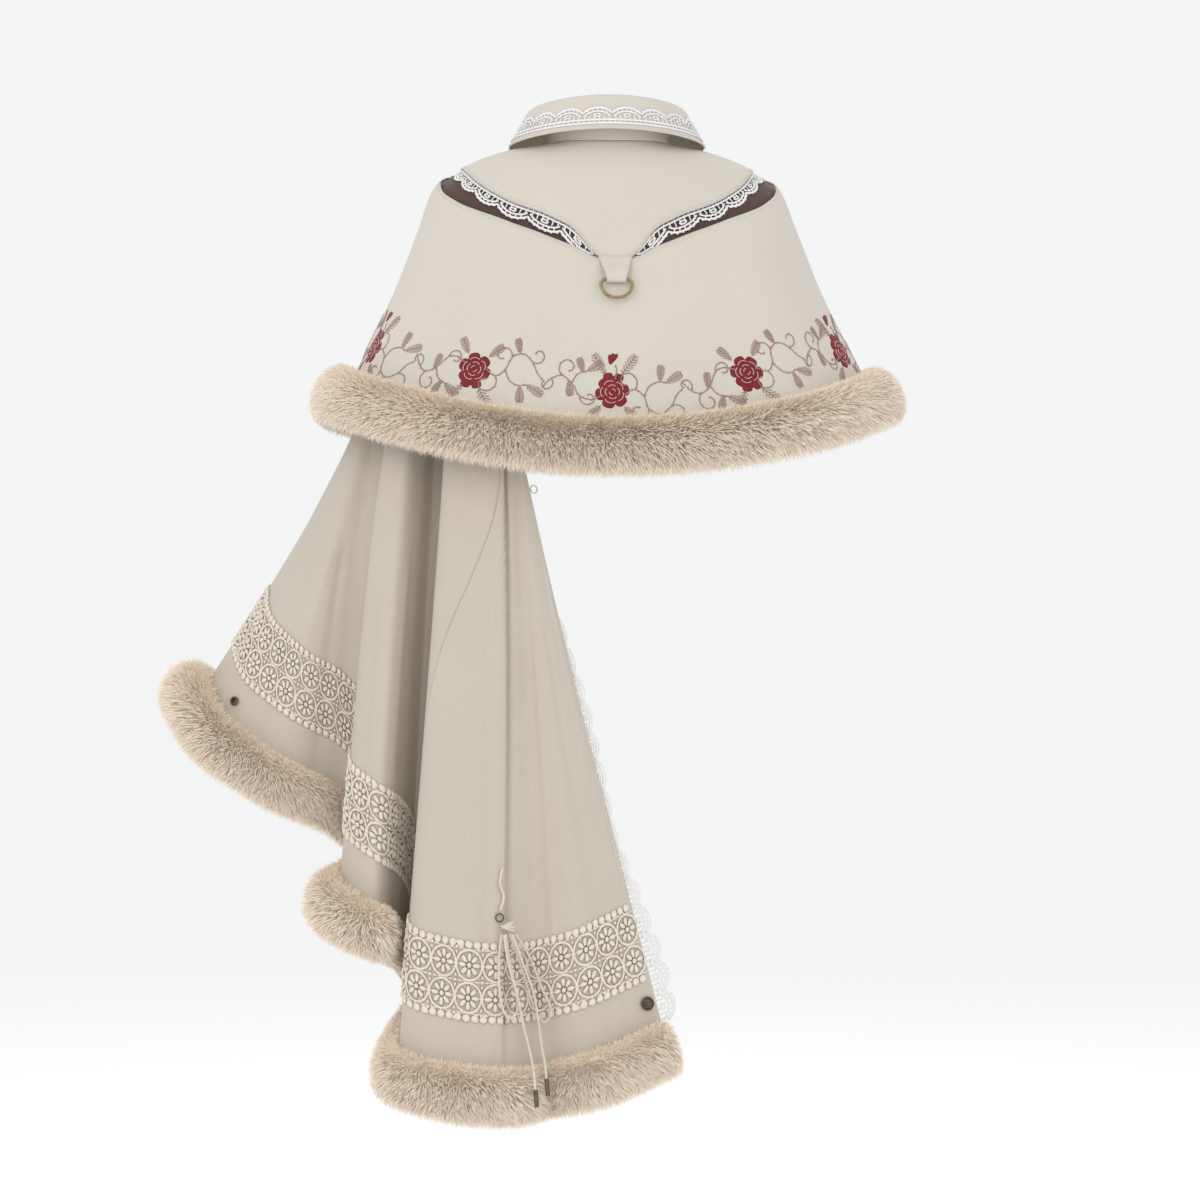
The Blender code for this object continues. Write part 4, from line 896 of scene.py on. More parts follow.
# %% Gores of the half cape
SeamPoint = namedtuple("SeamPoint", "drop place")
FRONT_SEAM_PLACE = 4.5
BACK_SEAM = [
    SeamPoint(0.00, 17.45), SeamPoint(0.34, 17.75), SeamPoint(0.52, 16.35), SeamPoint(0.70, 15.75),
    SeamPoint(1.00, 15.60),
]
END_EASE = 6
BAND_MIDDLE_DROP, BAND_MEASURES = 0.88, 1200


def seam_place(place, drop, side):
    """Place of a seam edge, half the seam gap to one side of the seam's own line."""
    step = 0.01
    ahead, behind = half_surface(place + step, drop), half_surface(place - step, drop)
    width = np.linalg.norm(ahead - behind, axis=-1) / (2 * step)
    return place + side * 0.5 * SEAM / width


def front_seam(drop, side):
    return seam_place(np.full(np.shape(drop), FRONT_SEAM_PLACE), drop, side)


def back_seam(drop, side):
    place = weights_through(column(BACK_SEAM, "drop"), drop) @ column(BACK_SEAM, "place")
    return seam_place(place, drop, side)


GORES = {
    "front": (lambda drop: np.zeros(np.shape(drop)), lambda drop: front_seam(drop, -1.0)),
    "side": (lambda drop: front_seam(drop, 1.0), lambda drop: back_seam(drop, -1.0)),
    "back": (lambda drop: back_seam(drop, 1.0), lambda drop: np.full(np.shape(drop), LAST_PLACE)),
}
GORE_GRID = {"front": (80, 60), "side": (200, 64), "back": (150, 72)}


def gore_place(edges, share, drop):
    """Place of a column of a gore: down the folds, and along a slanted end seam only close to it."""
    start, end = edges
    low, high = start(np.array(1.0)), end(np.array(1.0))
    place = low + (high - low) * share
    return place + (start(drop) - low) * (1.0 - share) + (end(drop) - high) * share**END_EASE


def even_shares(edges, count):
    """Shares across a gore that lie evenly along its guipure band, and the band's length."""
    shares = np.linspace(0.0, 1.0, BAND_MEASURES)
    start, end = edges
    drop = np.array(BAND_MIDDLE_DROP)
    points = half_surface(start(drop) + (end(drop) - start(drop)) * shares, drop)
    run = run_along(points)
    return np.interp(np.linspace(0.0, run[-1], count), run, shares), float(run[-1])


for name, edges in GORES.items():
    columns, rows = GORE_GRID[name]
    shares, length = even_shares(edges, columns)
    drops = np.linspace(0.0, 1.0, rows)[None, :]
    places = gore_place(edges, shares[:, None], drops)
    node = "half_cape_" + name
    sheets[node] = cloth_panel(node, half_cloth, places, drops, beige_weave, "beige_cloth")
    print(node, sheets[node][1], "band", round(length, 3))

# %% [markdown]
# ## Fur
# The hem trim is soft faux fur, longest where it rounds the edge. A fur strip needs a body to grow on
# and thousands of strands. Particle hair would not survive an export, so Geometry Nodes scatter small
# bent blades over a rounded core. Noise leans neighbours the same way, which makes the tufts, and each
# blade knows how far along its length a point lies, so the finish can run from tan roots to pale tips.

# %% Fur finish
FUR_ROOT, FUR_MIDDLE = (0.960, 0.810, 0.650, 1.0), (0.992, 0.890, 0.760, 1.0)
FUR_TIP, FUR_SHADE = (0.998, 0.940, 0.850, 1.0), (0.93, 0.74, 0.55, 1.0)
FUR_MIDDLE_AT = 0.42


def fur_finish(name):
    """Soft strands: tan at the root, peach in the middle, pale at the tip, each a little different."""
    material, tree, shader = new_finish(name)
    along = add_node(tree, "ShaderNodeAttribute", attribute_name="along").outputs["Fac"]
    tint = add_node(tree, "ShaderNodeAttribute", attribute_name="tint").outputs["Fac"]
    place = add_node(tree, "ShaderNodeTexCoord").outputs["Object"]
    ramp = add_node(tree, "ShaderNodeValToRGB", {"Fac": along})
    ramp.color_ramp.elements[0].color = FUR_ROOT
    ramp.color_ramp.elements[1].color = FUR_TIP
    middle = ramp.color_ramp.elements.new(FUR_MIDDLE_AT)
    middle.color = FUR_MIDDLE
    tufts = scaled(tree, noise(tree, place, 60.0, 2.0), 0.8)
    shade = ranged(tree, added(tree, tint, tufts), 0.3, 1.5, 0.0, 0.14)
    fill(tree, shader, {
        "Base Color": mixed(tree, shade, ramp.outputs["Color"], FUR_SHADE),
        "Roughness": ranged(tree, tint, 0.0, 1.0, 0.72, 0.95),
        "Sheen Weight": 0.5, "Sheen Tint": (1.0, 0.86, 0.70, 1.0), "Sheen Roughness": 0.6,
        "Specular IOR Level": 0.2})
    return material


beige_fur = fur_finish("beige_fur_strands")
print("fur finish:", beige_fur.name)


# %% Geometry Nodes helpers
def new_tree(name, sockets):
    """Empty node tree with a geometry going through it and named inputs."""
    tree = bpy.data.node_groups.new(name, "GeometryNodeTree")
    tree.interface.new_socket("Geometry", in_out="INPUT", socket_type="NodeSocketGeometry")
    for label, kind in sockets.items():
        tree.interface.new_socket(label, in_out="INPUT", socket_type="NodeSocket" + kind)
    tree.interface.new_socket("Geometry", in_out="OUTPUT", socket_type="NodeSocketGeometry")
    return tree, add_node(tree, "NodeGroupInput").outputs, add_node(tree, "NodeGroupOutput")


def named(tree, attribute, kind="FLOAT"):
    """A value stored on the points under its name."""
    node = add_node(tree, "GeometryNodeInputNamedAttribute", {"Name": attribute}, data_type=kind)
    return node.outputs["Attribute"]


def bare_object(name, vertices, faces, floats=(), vectors=()):
    """Mesh object that only feeds a node tree, with values stored on its points."""
    mesh = new_mesh(name, vertices, faces)
    for kind, key, stored in (("FLOAT", "value", floats), ("FLOAT_VECTOR", "vector", vectors)):
        for label, values in dict(stored).items():
            attribute = mesh.attributes.new(label, kind, "POINT")
            attribute.data.foreach_set(key, np.asarray(values, float).ravel())
    return placed(name, mesh)


def run_tree(name, base, tree, settings, bend=None):
    """Run a node tree on an object and keep the result as a plain mesh, bent to its place if it lay flat."""
    modifier = base.modifiers.new(tree.name, "NODES")
    modifier.node_group = tree
    for item in tree.interface.items_tree:
        if item.in_out == "INPUT" and item.name in settings:
            modifier[item.identifier] = settings[item.name]
    graph = bpy.context.evaluated_depsgraph_get()
    mesh = bpy.data.meshes.new_from_object(base.evaluated_get(graph), preserve_all_data_layers=True,
                                           depsgraph=graph)
    mesh.name = name
    base.modifiers.remove(modifier)
    bpy.data.objects.remove(base, do_unlink=True)
    if bend:
        flat = np.empty(3 * len(mesh.vertices))
        mesh.vertices.foreach_get("co", flat)
        mesh.vertices.foreach_set("co", bend(flat.reshape(-1, 3)).ravel())
        mesh.update()
    thing = placed(name, mesh)
    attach(thing, BODY)
    return thing


# %% The tree that grows fur
BLADE = [(-0.5, 0.0, 0.0), (0.5, 0.0, 0.0), (0.25, 0.06, 0.5), (0.0, 0.24, 1.0)]
BLADE_FACES = [(0, 1, 2), (0, 2, 3)]
BLADE_ALONG = [0.0, 0.0, 0.5, 1.0]
TUFT_SCALE = 62.0
OWN_LEAN = 0.24
LENGTH_RANGE = (0.62, 1.18)


def product(tree, first, second):
    """Node that multiplies two numbers."""
    return add_node(tree, "ShaderNodeMath", {0: first, 1: second}, operation="MULTIPLY").outputs[0]


def vector_sum(tree, first, second):
    """Node that adds two vectors."""
    return add_node(tree, "ShaderNodeVectorMath", {0: first, 1: second}, operation="ADD").outputs[0]


def random_number(tree, low, high, seed):
    """A random number of its own for every strand."""
    given = {2: low, 3: high, "Seed": seed}
    return add_node(tree, "FunctionNodeRandomValue", given, data_type="FLOAT").outputs[1]


def fur_tree():
    """Scatter blades over the outer side of a core, lean them in tufts, and join them to it."""
    tree, given, result = new_tree("grow_fur", {
        "Strands per m2": "Float", "Strand width": "Float", "Tuft lean": "Float", "Droop": "Float",
        "Seed": "Int", "Blade": "Object", "Finish": "Material"})
    seed = given["Seed"]
    hair = product(tree, named(tree, "hair"), given["Strands per m2"])
    spread = add_node(tree, "GeometryNodeDistributePointsOnFaces",
                      {"Mesh": given["Geometry"], "Density": hair, "Seed": seed})
    place = add_node(tree, "GeometryNodeInputPosition").outputs[0]
    tufts = add_node(tree, "ShaderNodeTexNoise", {"Vector": place, "Scale": TUFT_SCALE, "Detail": 2.0})
    centred = add_node(tree, "ShaderNodeVectorMath", {0: tufts.outputs["Color"], 1: (0.5,) * 3},
                       operation="SUBTRACT")
    tuft = add_node(tree, "ShaderNodeVectorMath", {0: centred.outputs[0], "Scale": given["Tuft lean"]},
                    operation="SCALE")
    own = add_node(tree, "FunctionNodeRandomValue", {0: (-OWN_LEAN,) * 3, 1: (OWN_LEAN,) * 3, "Seed": seed},
                   data_type="FLOAT_VECTOR")
    down = add_node(tree, "ShaderNodeCombineXYZ", {"Z": given["Droop"]})
    way = vector_sum(tree, named(tree, "flow", "FLOAT_VECTOR"), tuft.outputs[0])
    for more in (spread.outputs["Normal"], own.outputs["Value"], down.outputs[0]):
        way = vector_sum(tree, way, more)
    stand = add_node(tree, "FunctionNodeAlignRotationToVector", {"Vector": way}, axis="Z")
    turn = random_number(tree, 0.0, 2 * math.pi, seed)
    spin = add_node(tree, "FunctionNodeAxisAngleToRotation", {"Axis": (0.0, 0.0, 1.0), "Angle": turn})
    facing = add_node(tree, "FunctionNodeRotateRotation", {0: stand.outputs[0], 1: spin.outputs[0]},
                      rotation_space="LOCAL")
    length = product(tree, named(tree, "length"), random_number(tree, *LENGTH_RANGE, seed))
    size = add_node(tree, "ShaderNodeCombineXYZ", {"X": given["Strand width"], "Y": length, "Z": length})
    blade = add_node(tree, "GeometryNodeObjectInfo", {"Object": given["Blade"]})
    strands = add_node(tree, "GeometryNodeInstanceOnPoints",
                       {"Points": spread.outputs["Points"], "Instance": blade.outputs["Geometry"],
                        "Rotation": facing.outputs[0], "Scale": size.outputs[0]})
    shade = random_number(tree, 0.0, 1.0, seed)
    tinted = add_node(tree, "GeometryNodeStoreNamedAttribute",
                      {"Geometry": strands.outputs[0], "Name": "tint", "Value": shade},
                      data_type="FLOAT", domain="INSTANCE")
    real = add_node(tree, "GeometryNodeRealizeInstances", {"Geometry": tinted.outputs[0]})
    both = add_node(tree, "GeometryNodeJoinGeometry")
    tree.links.new(given["Geometry"], both.inputs[0])
    tree.links.new(real.outputs[0], both.inputs[0])
    dressed = add_node(tree, "GeometryNodeSetMaterial",
                       {"Geometry": both.outputs[0], "Material": given["Finish"]})
    tree.links.new(dressed.outputs[0], result.inputs[0])
    return tree


grow_fur = fur_tree()
print("fur tree nodes:", len(grow_fur.nodes))

# %% Fur strips of both hems
FUR_HEIGHT = 0.058
FUR_OVERHANG = 0.009
FUR_REACH = (FUR_HEIGHT + FUR_OVERHANG) / FUR_HEIGHT
FUR_BASE = CLOTH + 0.0005
CAPELET_FUR_THICK = 0.034
FurRow = namedtuple("FurRow", "share fullness")
FUR_SECTION = [
    FurRow(0.00, 0.14), FurRow(0.19, 0.80), FurRow(0.55, 1.00), FurRow(0.86, 0.74), FurRow(1.00, 0.16),
]
FUR_ROWS = 13
FUR_CORE = 0.62
STRAND_SHARE, STRAND_LEAST = 0.42, 0.003
STRANDS_PER_M2 = 1000000.0
STRAND_WIDTH = 0.0008
CORE_SPAN = (0.14, 0.86)
FlowRow = namedtuple("FlowRow", "share lean reach")
FLOW = [
    FlowRow(0.0, 0.25, 0.50), FlowRow(0.25, 0.55, 0.85), FlowRow(0.55, 0.95, 1.0), FlowRow(1.0, 0.95, 0.80),
]
TUFT_LEAN, DROOP = 0.7, -0.05
# The core takes its colour far along the strands' ramp, near the pale tips: painted light that offsets the
# shade falling on the core between the strands.
CORE_PAINTED_LIGHT_ALONG, CORE_TINT = 0.8, 0.5
FIRST_CAPELET_SEED, FIRST_HALF_SEED = 1, 11
MEDALLION_PITCH = 0.0275
FUR_RISE = 2.0
VALLEY_FILL = 0.72
VALLEY_COLUMNS = 5


def grow_strip(name, cloth, u, v_top, v_end, thick, seed):
    """Fur strip over a hem: a rounded core on the cloth, with strands on its outer side."""
    downs = np.linspace(*CORE_SPAN, FUR_ROWS)
    fullness = weights_through(column(FUR_SECTION, "share"), downs) @ column(FUR_SECTION, "fullness")
    v = v_top[:, None] + (v_end - v_top)[:, None] * FUR_REACH * downs[None, :]
    u = np.broadcast_to(u[:, None], v.shape)
    outer = cloth(u, v, FUR_BASE + FUR_CORE * thick[:, None] * fullness[None, :])
    inner = cloth(u, v, np.full(v.shape, FUR_BASE))
    section = np.linspace(0.0, 1.0, FUR_ROWS)
    shares = column(FLOW, "share")
    reach, lean = (np.interp(section, shares, column(FLOW, what)) for what in ("reach", "lean"))
    length = ((STRAND_LEAST + STRAND_SHARE * thick)[:, None] * reach[None, :]).ravel()
    down_way = unit(np.gradient(outer, axis=1))
    flow = (down_way * lean[None, :, None]).reshape(-1, 3)
    # The core's 'along' value gives it a pale colour, painted light against the shade between the strands.
    floats = {"hair": np.repeat((1.0, 0.0), v.size), "length": np.tile(length, 2),
              "along": np.full(2 * v.size, CORE_PAINTED_LIGHT_ALONG), "tint": np.full(2 * v.size, CORE_TINT)}
    core = bare_object(name + "_core", *wall_between(outer, inner), floats, {"flow": np.tile(flow, (2, 1))})
    blade = bare_object(name + "_blade", BLADE, BLADE_FACES, {"along": BLADE_ALONG})
    settings = {"Strands per m2": STRANDS_PER_M2, "Strand width": STRAND_WIDTH, "Tuft lean": TUFT_LEAN,
                "Droop": DROOP, "Seed": seed, "Blade": blade, "Finish": beige_fur}
    strip = run_tree(name + "_strands", core, grow_fur, settings)
    bpy.data.objects.remove(blade, do_unlink=True)
    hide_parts(name)
    print(name, "triangles", sum(len(face.vertices) - 2 for face in strip.data.polygons))


for seed, (name, (start, end, count)) in enumerate(CAPELET_SPANS.items(), FIRST_CAPELET_SEED):
    angles = np.linspace(start, end, count)
    grow_strip("capelet_fur_" + name, capelet_cloth, angles, share_above_hem(angles, FUR_HEIGHT),
               np.ones(count), np.full(count, CAPELET_FUR_THICK), seed)


def fur_depth(place):
    """Thickness of the half cape's fur at a place, low for longer beside the valleys."""
    left = np.minimum(place.astype(int), len(FOLDS) - 2)
    fur = column(FOLDS, "fur")
    part_way, before, after = place - left, fur[left], fur[left + 1]
    rising = before + (after - before) * part_way**FUR_RISE
    return np.where(before < after, rising, after + (before - after) * (1.0 - part_way)**FUR_RISE)


def fit_valleys(places, thick):
    """Fur thickness held down where near columns of a hem lean towards each other."""
    hem, out = half_surface(places, 1.0), outward(half_surface, places, np.ones_like(places))
    held = thick.copy()
    for near in range(1, VALLEY_COLUMNS + 1):
        step = (hem[near:] - hem[:-near])[:, :2]
        lean = ((out[:-near] - out[near:])[:, :2] * step).sum(-1)
        limit = np.where(lean > 0.0, VALLEY_FILL * (step * step).sum(-1) / np.maximum(lean, 1e-9), np.inf)
        held[:-near] = np.minimum(held[:-near], limit)
        held[near:] = np.minimum(held[near:], limit)
    return held


for seed, (name, edges) in enumerate(GORES.items(), FIRST_HALF_SEED):
    fine, length = even_shares(edges, GORE_GRID[name][0])
    coarse = even_shares(edges, 2 * max(2, round(length / MEDALLION_PITCH)) + 1)[0]
    coarse_places = gore_place(edges, coarse, np.array(1.0))
    coarse_thick = fit_valleys(coarse_places, fur_depth(coarse_places))
    places = gore_place(edges, fine, np.array(1.0))
    grow_strip("half_fur_" + name, half_cloth, places, drop_above_hem(places, FUR_HEIGHT),
               np.ones_like(places), np.interp(fine, coarse, coarse_thick), seed)

# %% [markdown]
# ## Guipure band
# The band above the fur is guipure: heavy lace of round medallions, each a ring with a daisy of eight
# petals, in two rows between beaded edges. One medallion is modelled, and Geometry Nodes set a copy at
# every mark of a strip that lies flat, as lace is made. The strip is then bent over the folds.


# %% The tree that sets motifs on marks
def motif_tree():
    """Set a copy of a motif at every mark, turned to lie on the cloth."""
    tree, given, result = new_tree("set_motifs", {"Motif": "Object", "Size": "Float", "Finish": "Material"})
    lie = add_node(tree, "FunctionNodeAlignRotationToVector", {"Vector": named(tree, "out", "FLOAT_VECTOR")},
                   axis="Z")
    turn = add_node(tree, "FunctionNodeAlignRotationToVector",
                    {"Rotation": lie.outputs[0], "Vector": named(tree, "across", "FLOAT_VECTOR")},
                    axis="X", pivot_axis="Z")
    motif = add_node(tree, "GeometryNodeObjectInfo", {"Object": given["Motif"]})
    copies = add_node(tree, "GeometryNodeInstanceOnPoints",
                      {"Points": given["Geometry"], "Instance": motif.outputs["Geometry"],
                       "Rotation": turn.outputs[0], "Scale": given["Size"]})
    real = add_node(tree, "GeometryNodeRealizeInstances", {"Geometry": copies.outputs[0]})
    dressed = add_node(tree, "GeometryNodeSetMaterial",
                       {"Geometry": real.outputs[0], "Material": given["Finish"]})
    tree.links.new(dressed.outputs[0], result.inputs[0])
    return tree


set_motifs = motif_tree()


def lay_motifs(name, marks, out, across, motif, size, finish, bend=None):
    """Copies of a motif mesh at marks on the cloth, as one piece."""
    points = bare_object(name + "_marks", marks, [], vectors={"out": out, "across": across})
    shape = bare_object(name + "_motif", *motif)
    settings = {"Motif": shape, "Size": size, "Finish": finish}
    thing = run_tree(name, points, set_motifs, settings, bend)
    bpy.data.objects.remove(shape, do_unlink=True)
    return thing


def dome(centre, half_long, half_wide, height, heading=0.0, sides=8, sink=0.25):
    """Small closed cushion of thread on the plane z = 0."""
    turn = 2 * math.pi * np.arange(sides) / sides
    flat = np.stack((half_long * np.cos(turn), half_wide * np.sin(turn)), -1)
    spin = np.array(((math.cos(heading), -math.sin(heading)), (math.sin(heading), math.cos(heading))))
    rim = flat @ spin.T + np.asarray(centre, float)
    inner = (flat * 0.62) @ spin.T + np.asarray(centre, float)
    top = (*centre, height)
    vertices = [(x, y, -sink * height) for x, y in rim] + [(x, y, 0.8 * height) for x, y in inner] + [top]
    faces = [(k, (k + 1) % sides, sides + (k + 1) % sides, sides + k) for k in range(sides)]
    faces += [(sides + k, sides + (k + 1) % sides, 2 * sides) for k in range(sides)]
    faces.append(tuple(range(sides - 1, -1, -1)))
    return np.array(vertices), faces


# %% One medallion, one filler and one bead
PETALS = 8
MEDALLION_TALL = 1.14


def polar(radius, heading):
    """Flat point at a distance and a heading from the middle."""
    return radius * math.cos(heading), radius * math.sin(heading)


def flat_ring(radius, wire, points, sides=6):
    """Round wire about the middle of the plane z = 0."""
    turn = (2 * math.pi * np.arange(points) / points)[:, None]
    line = np.concatenate((radius * np.cos(turn), radius * np.sin(turn), np.zeros_like(turn)), -1)
    return ring_tube(line, np.broadcast_to((0.0, 0.0, 1.0), line.shape), wire, sides)


def medallion_motif():
    """Ring with a daisy in it, one unit in radius, and four short bars that join it to its neighbours."""
    parts = [flat_ring(0.93, 0.085, 26)]
    for petal in range(PETALS):
        heading = 2 * math.pi * petal / PETALS
        parts.append(dome(polar(0.50, heading), 0.33, 0.175, 0.13, heading))
    parts.append(dome((0.0, 0.0), 0.20, 0.20, 0.19))
    for bar in range(4):
        heading = math.pi / 2 * bar
        parts.append(dome(polar(1.06, heading), 0.14, 0.07, 0.07, heading, sides=6))
    vertices, faces = joined(parts)
    return vertices * np.array((1.0, MEDALLION_TALL, 1.0)), faces


def filler_motif():
    """Four-petalled diamond for the gaps between medallions."""
    parts = [dome((0.0, 0.0), 0.30, 0.30, 0.30, sides=6)]
    for petal in range(4):
        heading = math.pi / 2 * petal
        parts.append(dome(polar(0.66, heading), 0.36, 0.20, 0.22, heading, sides=6))
    return joined(parts)


# %% Medallions, fillers and beaded edges on the three gores
BAND_BOTTOM = 0.096
BAND_HEIGHT = 0.085
MEDALLION_ROWS = (0.302, 0.698)
MEDALLION_RADIUS = 0.0146
BEAD_PITCH = 0.0086
BAND_EDGES = (0.055, 0.945)
BAND_LINES = (0.115, 0.5, 0.885)
FILLER_ROWS = (0.10, 0.5, 0.90)
FILLER_RADIUS, BEAD_RADIUS = 0.0078, 0.0048
MEDALLION_LIFT, MOTIF_LIFT, THREAD_LIFT = 0.0014, 0.0010, 0.0006
BAND_THREAD_STEP, BAND_THREAD_HALF_WIDTH, BAND_THREAD_HALF_HEIGHT = 0.004, 0.0008, 0.0006
BEND_STEPS = 400
OUT_OF_PLANE, ALONG_PLANE = (0.0, 0.0, 1.0), (1.0, 0.0, 0.0)


def band_point(edges, share, down, lift):
    """Point of the guipure band, the way out of the cloth and the way along the band."""
    share, down = np.broadcast_arrays(share, down)

    def place_and_drop(at):
        hem_place = gore_place(edges, at, np.array(1.0))
        top = drop_above_hem(hem_place, BAND_BOTTOM + BAND_HEIGHT)
        drop = top + (drop_above_hem(hem_place, BAND_BOTTOM) - top) * down
        return gore_place(edges, at, drop), drop

    place, drop = place_and_drop(share)
    step = 0.001
    ahead, behind = place_and_drop(share + step), place_and_drop(share - step)
    across = unit(half_surface(*ahead) - half_surface(*behind))
    point = half_cloth(place, drop, np.broadcast_to(lift, place.shape))
    return point, outward(half_surface, place, drop), across


BEAD = dome((0.0, 0.0), 1.0, 1.0, 0.42, sides=8)
for name, edges in GORES.items():
    even, length = even_shares(edges, BEND_STEPS)
    middle, out, across = band_point(edges, 0.5, 0.5, 0.0)
    hand = np.sign(np.dot(np.cross(across, middle - band_point(edges, 0.5, 0.6, 0.0)[0]), out))

    def onto_band(flat, edges=edges, even=even, length=length, hand=hand):
        """Points of the cloth for flat ones: metres along the band, up from its middle and out of it."""
        share = np.interp(flat[:, 0] / length, np.linspace(0.0, 1.0, len(even)), even)
        return band_point(edges, share, 0.5 - hand * flat[:, 1] / BAND_HEIGHT, flat[:, 2])[0]

    def lay_rows(kind, along, downs, lift, motif, size, name=name, bend=onto_band):
        """Copies of a motif in straight rows on the flat strip, bent onto the cloth."""
        up = (0.5 - np.array(downs)) * BAND_HEIGHT
        marks = np.array([(x, y, lift) for x in along for y in up])
        out, across = (np.broadcast_to(way, marks.shape) for way in (OUT_OF_PLANE, ALONG_PLANE))
        lay_motifs(f"half_{kind}_{name}", marks, out, across, motif, size, guipure_thread,
                   bend)

    count = max(2, round(length / MEDALLION_PITCH))
    steps = np.linspace(0.0, length, 2 * count + 1)
    beads = np.linspace(0.0, length, max(4, round(length / BEAD_PITCH)))[1:-1]
    lay_rows("medallions", steps[1::2], MEDALLION_ROWS, CLOTH + MEDALLION_LIFT, medallion_motif(),
             MEDALLION_RADIUS)
    lay_rows("fillers", steps[2:-1:2], FILLER_ROWS, CLOTH + MOTIF_LIFT, filler_motif(), FILLER_RADIUS)
    lay_rows("beads", beads, BAND_EDGES, CLOTH + MOTIF_LIFT, BEAD, BEAD_RADIUS)
    fine = even_shares(edges, round(length / BAND_THREAD_STEP))[0]
    threads = []
    for down in BAND_LINES:
        line, out, across = band_point(edges, fine, np.full(fine.shape, down), CLOTH + THREAD_LIFT)
        threads.append(swept(line, out, BAND_THREAD_HALF_WIDTH, BAND_THREAD_HALF_HEIGHT))
    ground = add_piece("half_band_threads_" + name, *joined(threads), guipure_thread, "guipure_lace")
    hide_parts("half_band_" + name)
    print("band", name, "medallions", 2 * count, "beads", 2 * len(beads))

# %% [markdown]
# ## White lace
# Narrow scalloped lace edges the slits, the collar and the back edge of the half cape. Each scallop
# has two arcs, spokes between them, a small ring and a row of holes under the straight header. The
# same drawing is bent to each edge by a function that says where a point of the scallop lies.

# %% One scallop and the laces
SCALLOP_BOW = 0.7
SPOKES_AT = (-0.34, -0.17, 0.0, 0.17, 0.34)
BARS_AT = (-0.42, -0.25, -0.08, 0.08, 0.25, 0.42)
HEADER_DEPTHS, PICOT = (0.06, 0.24), 0.10
LACE_SIDES = 5


def scallop_lines():
    """Lines of one scallop: across from -0.5 to 0.5, depth 0 at the header and 1 at the tip."""
    x = np.linspace(-0.5, 0.5, 13)
    bow = np.abs(np.cos(math.pi * x)) ** SCALLOP_BOW
    outer = np.stack((x, 0.60 + 0.36 * bow), -1)
    inner = np.stack((x * 0.92, 0.40 + 0.34 * bow), -1)
    lines = [(outer, 1.25), (inner, 1.0)]
    for at in SPOKES_AT:
        level = abs(math.cos(math.pi * at)) ** SCALLOP_BOW
        lines.append((np.array(((at * 0.86, 0.38 + 0.34 * level), (at, 0.62 + 0.34 * level))), 0.75))
    for at in BARS_AT:
        level = abs(math.cos(math.pi * at))
        lines.append((np.array(((at, 0.05), (at * 0.92, 0.42 + 0.22 * level))), 0.70))
    turn = np.linspace(0.0, 2 * math.pi, 9)
    lines.append((np.stack((0.11 * np.cos(turn), 0.50 + 0.09 * np.sin(turn)), -1), 0.85))
    return lines


def scallop_lace(name, place_of, count, half_width, half_height):
    """Lace of scallops: place_of turns (scallop number, depth) into points and ways out of the cloth."""
    parts = []
    for number in range(count):
        for line, weight in scallop_lines():
            points, out = place_of(number + 0.5 + line[:, 0], line[:, 1])
            parts.append(swept(points, out, half_width * weight, half_height * weight, LACE_SIDES))
        edge = scallop_lines()[0][0]
        for x, depth in edge[1:-1:2]:
            ends = np.array((number + 0.5 + x, number + 0.5 + x * 1.02))
            points, out = place_of(ends, np.array((depth, depth + PICOT)))
            parts.append(swept(points, out, half_width * 1.1, half_height, LACE_SIDES))
    along = np.linspace(0.0, count, count * 8 + 1)
    for depth in HEADER_DEPTHS:
        points, out = place_of(along, np.full(along.shape, depth))
        parts.append(swept(points, out, half_width * 1.2, half_height, LACE_SIDES))
    piece = add_piece(name + "_threads", *joined(parts), white_thread, "white_lace")
    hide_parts(name)
    return piece


SLIT_SCALLOPS, COLLAR_SCALLOPS, EDGE_SCALLOPS = 8, 18, 14
SLIT_LACE_DEPTH, SLIT_LACE_TUCK = 0.048, 0.008
LACE_HALF_WIDTH, LACE_HALF_HEIGHT = 0.00120, 0.00050
laces = {}
for side_name, side in SIDES.items():
    def slit_lace_point(number, depth, side=side):
        """Point of a slit's lace, which lies under the yoke and never past the body's edge."""
        angle = side * (SLIT_INNER_ANGLE + (SLIT_OUTER_ANGLE - SLIT_INNER_ANGLE) * number / SLIT_SCALLOPS)
        top = slit_edge("yoke_edge", angle) - SLIT_LACE_TUCK
        body = slit_edge("body_edge", angle) + SLIT_LACE_TUCK
        low = np.minimum(top + SLIT_LACE_TUCK + SLIT_LACE_DEPTH, body)
        share = top + (low - top) * depth
        lift = np.full(share.shape, -SLIT_LACE_UNDER - LACE / 2)
        return capelet_cloth(angle, share, lift), outward(capelet_surface, angle, share)

    laces[side_name] = scallop_lace("inset_lace_" + side_name, slit_lace_point, SLIT_SCALLOPS,
                                    LACE_HALF_WIDTH, LACE_HALF_HEIGHT)

COLLAR_LACE_BASE, COLLAR_LACE_PEAK = 0.955, 0.73
COLLAR_LACE_END, COLLAR_LACE_LIFT = COLLAR_END_ANGLE - 3.0, CLOTH + 0.0008


def collar_lace_point(number, depth):
    """Point of the collar's lace, which lies on the fall with its scallops upwards."""
    angle = COLLAR_LACE_END * (2.0 * number / COLLAR_SCALLOPS - 1.0)
    share = COLLAR_LACE_BASE - (COLLAR_LACE_BASE - COLLAR_LACE_PEAK) * depth
    point = collar_cloth(angle, share, COLLAR_LACE_LIFT)
    return point, outward(collar_surface, angle, share)


laces["collar"] = scallop_lace("collar_lace", collar_lace_point, COLLAR_SCALLOPS, LACE_HALF_WIDTH,
                               LACE_HALF_HEIGHT)

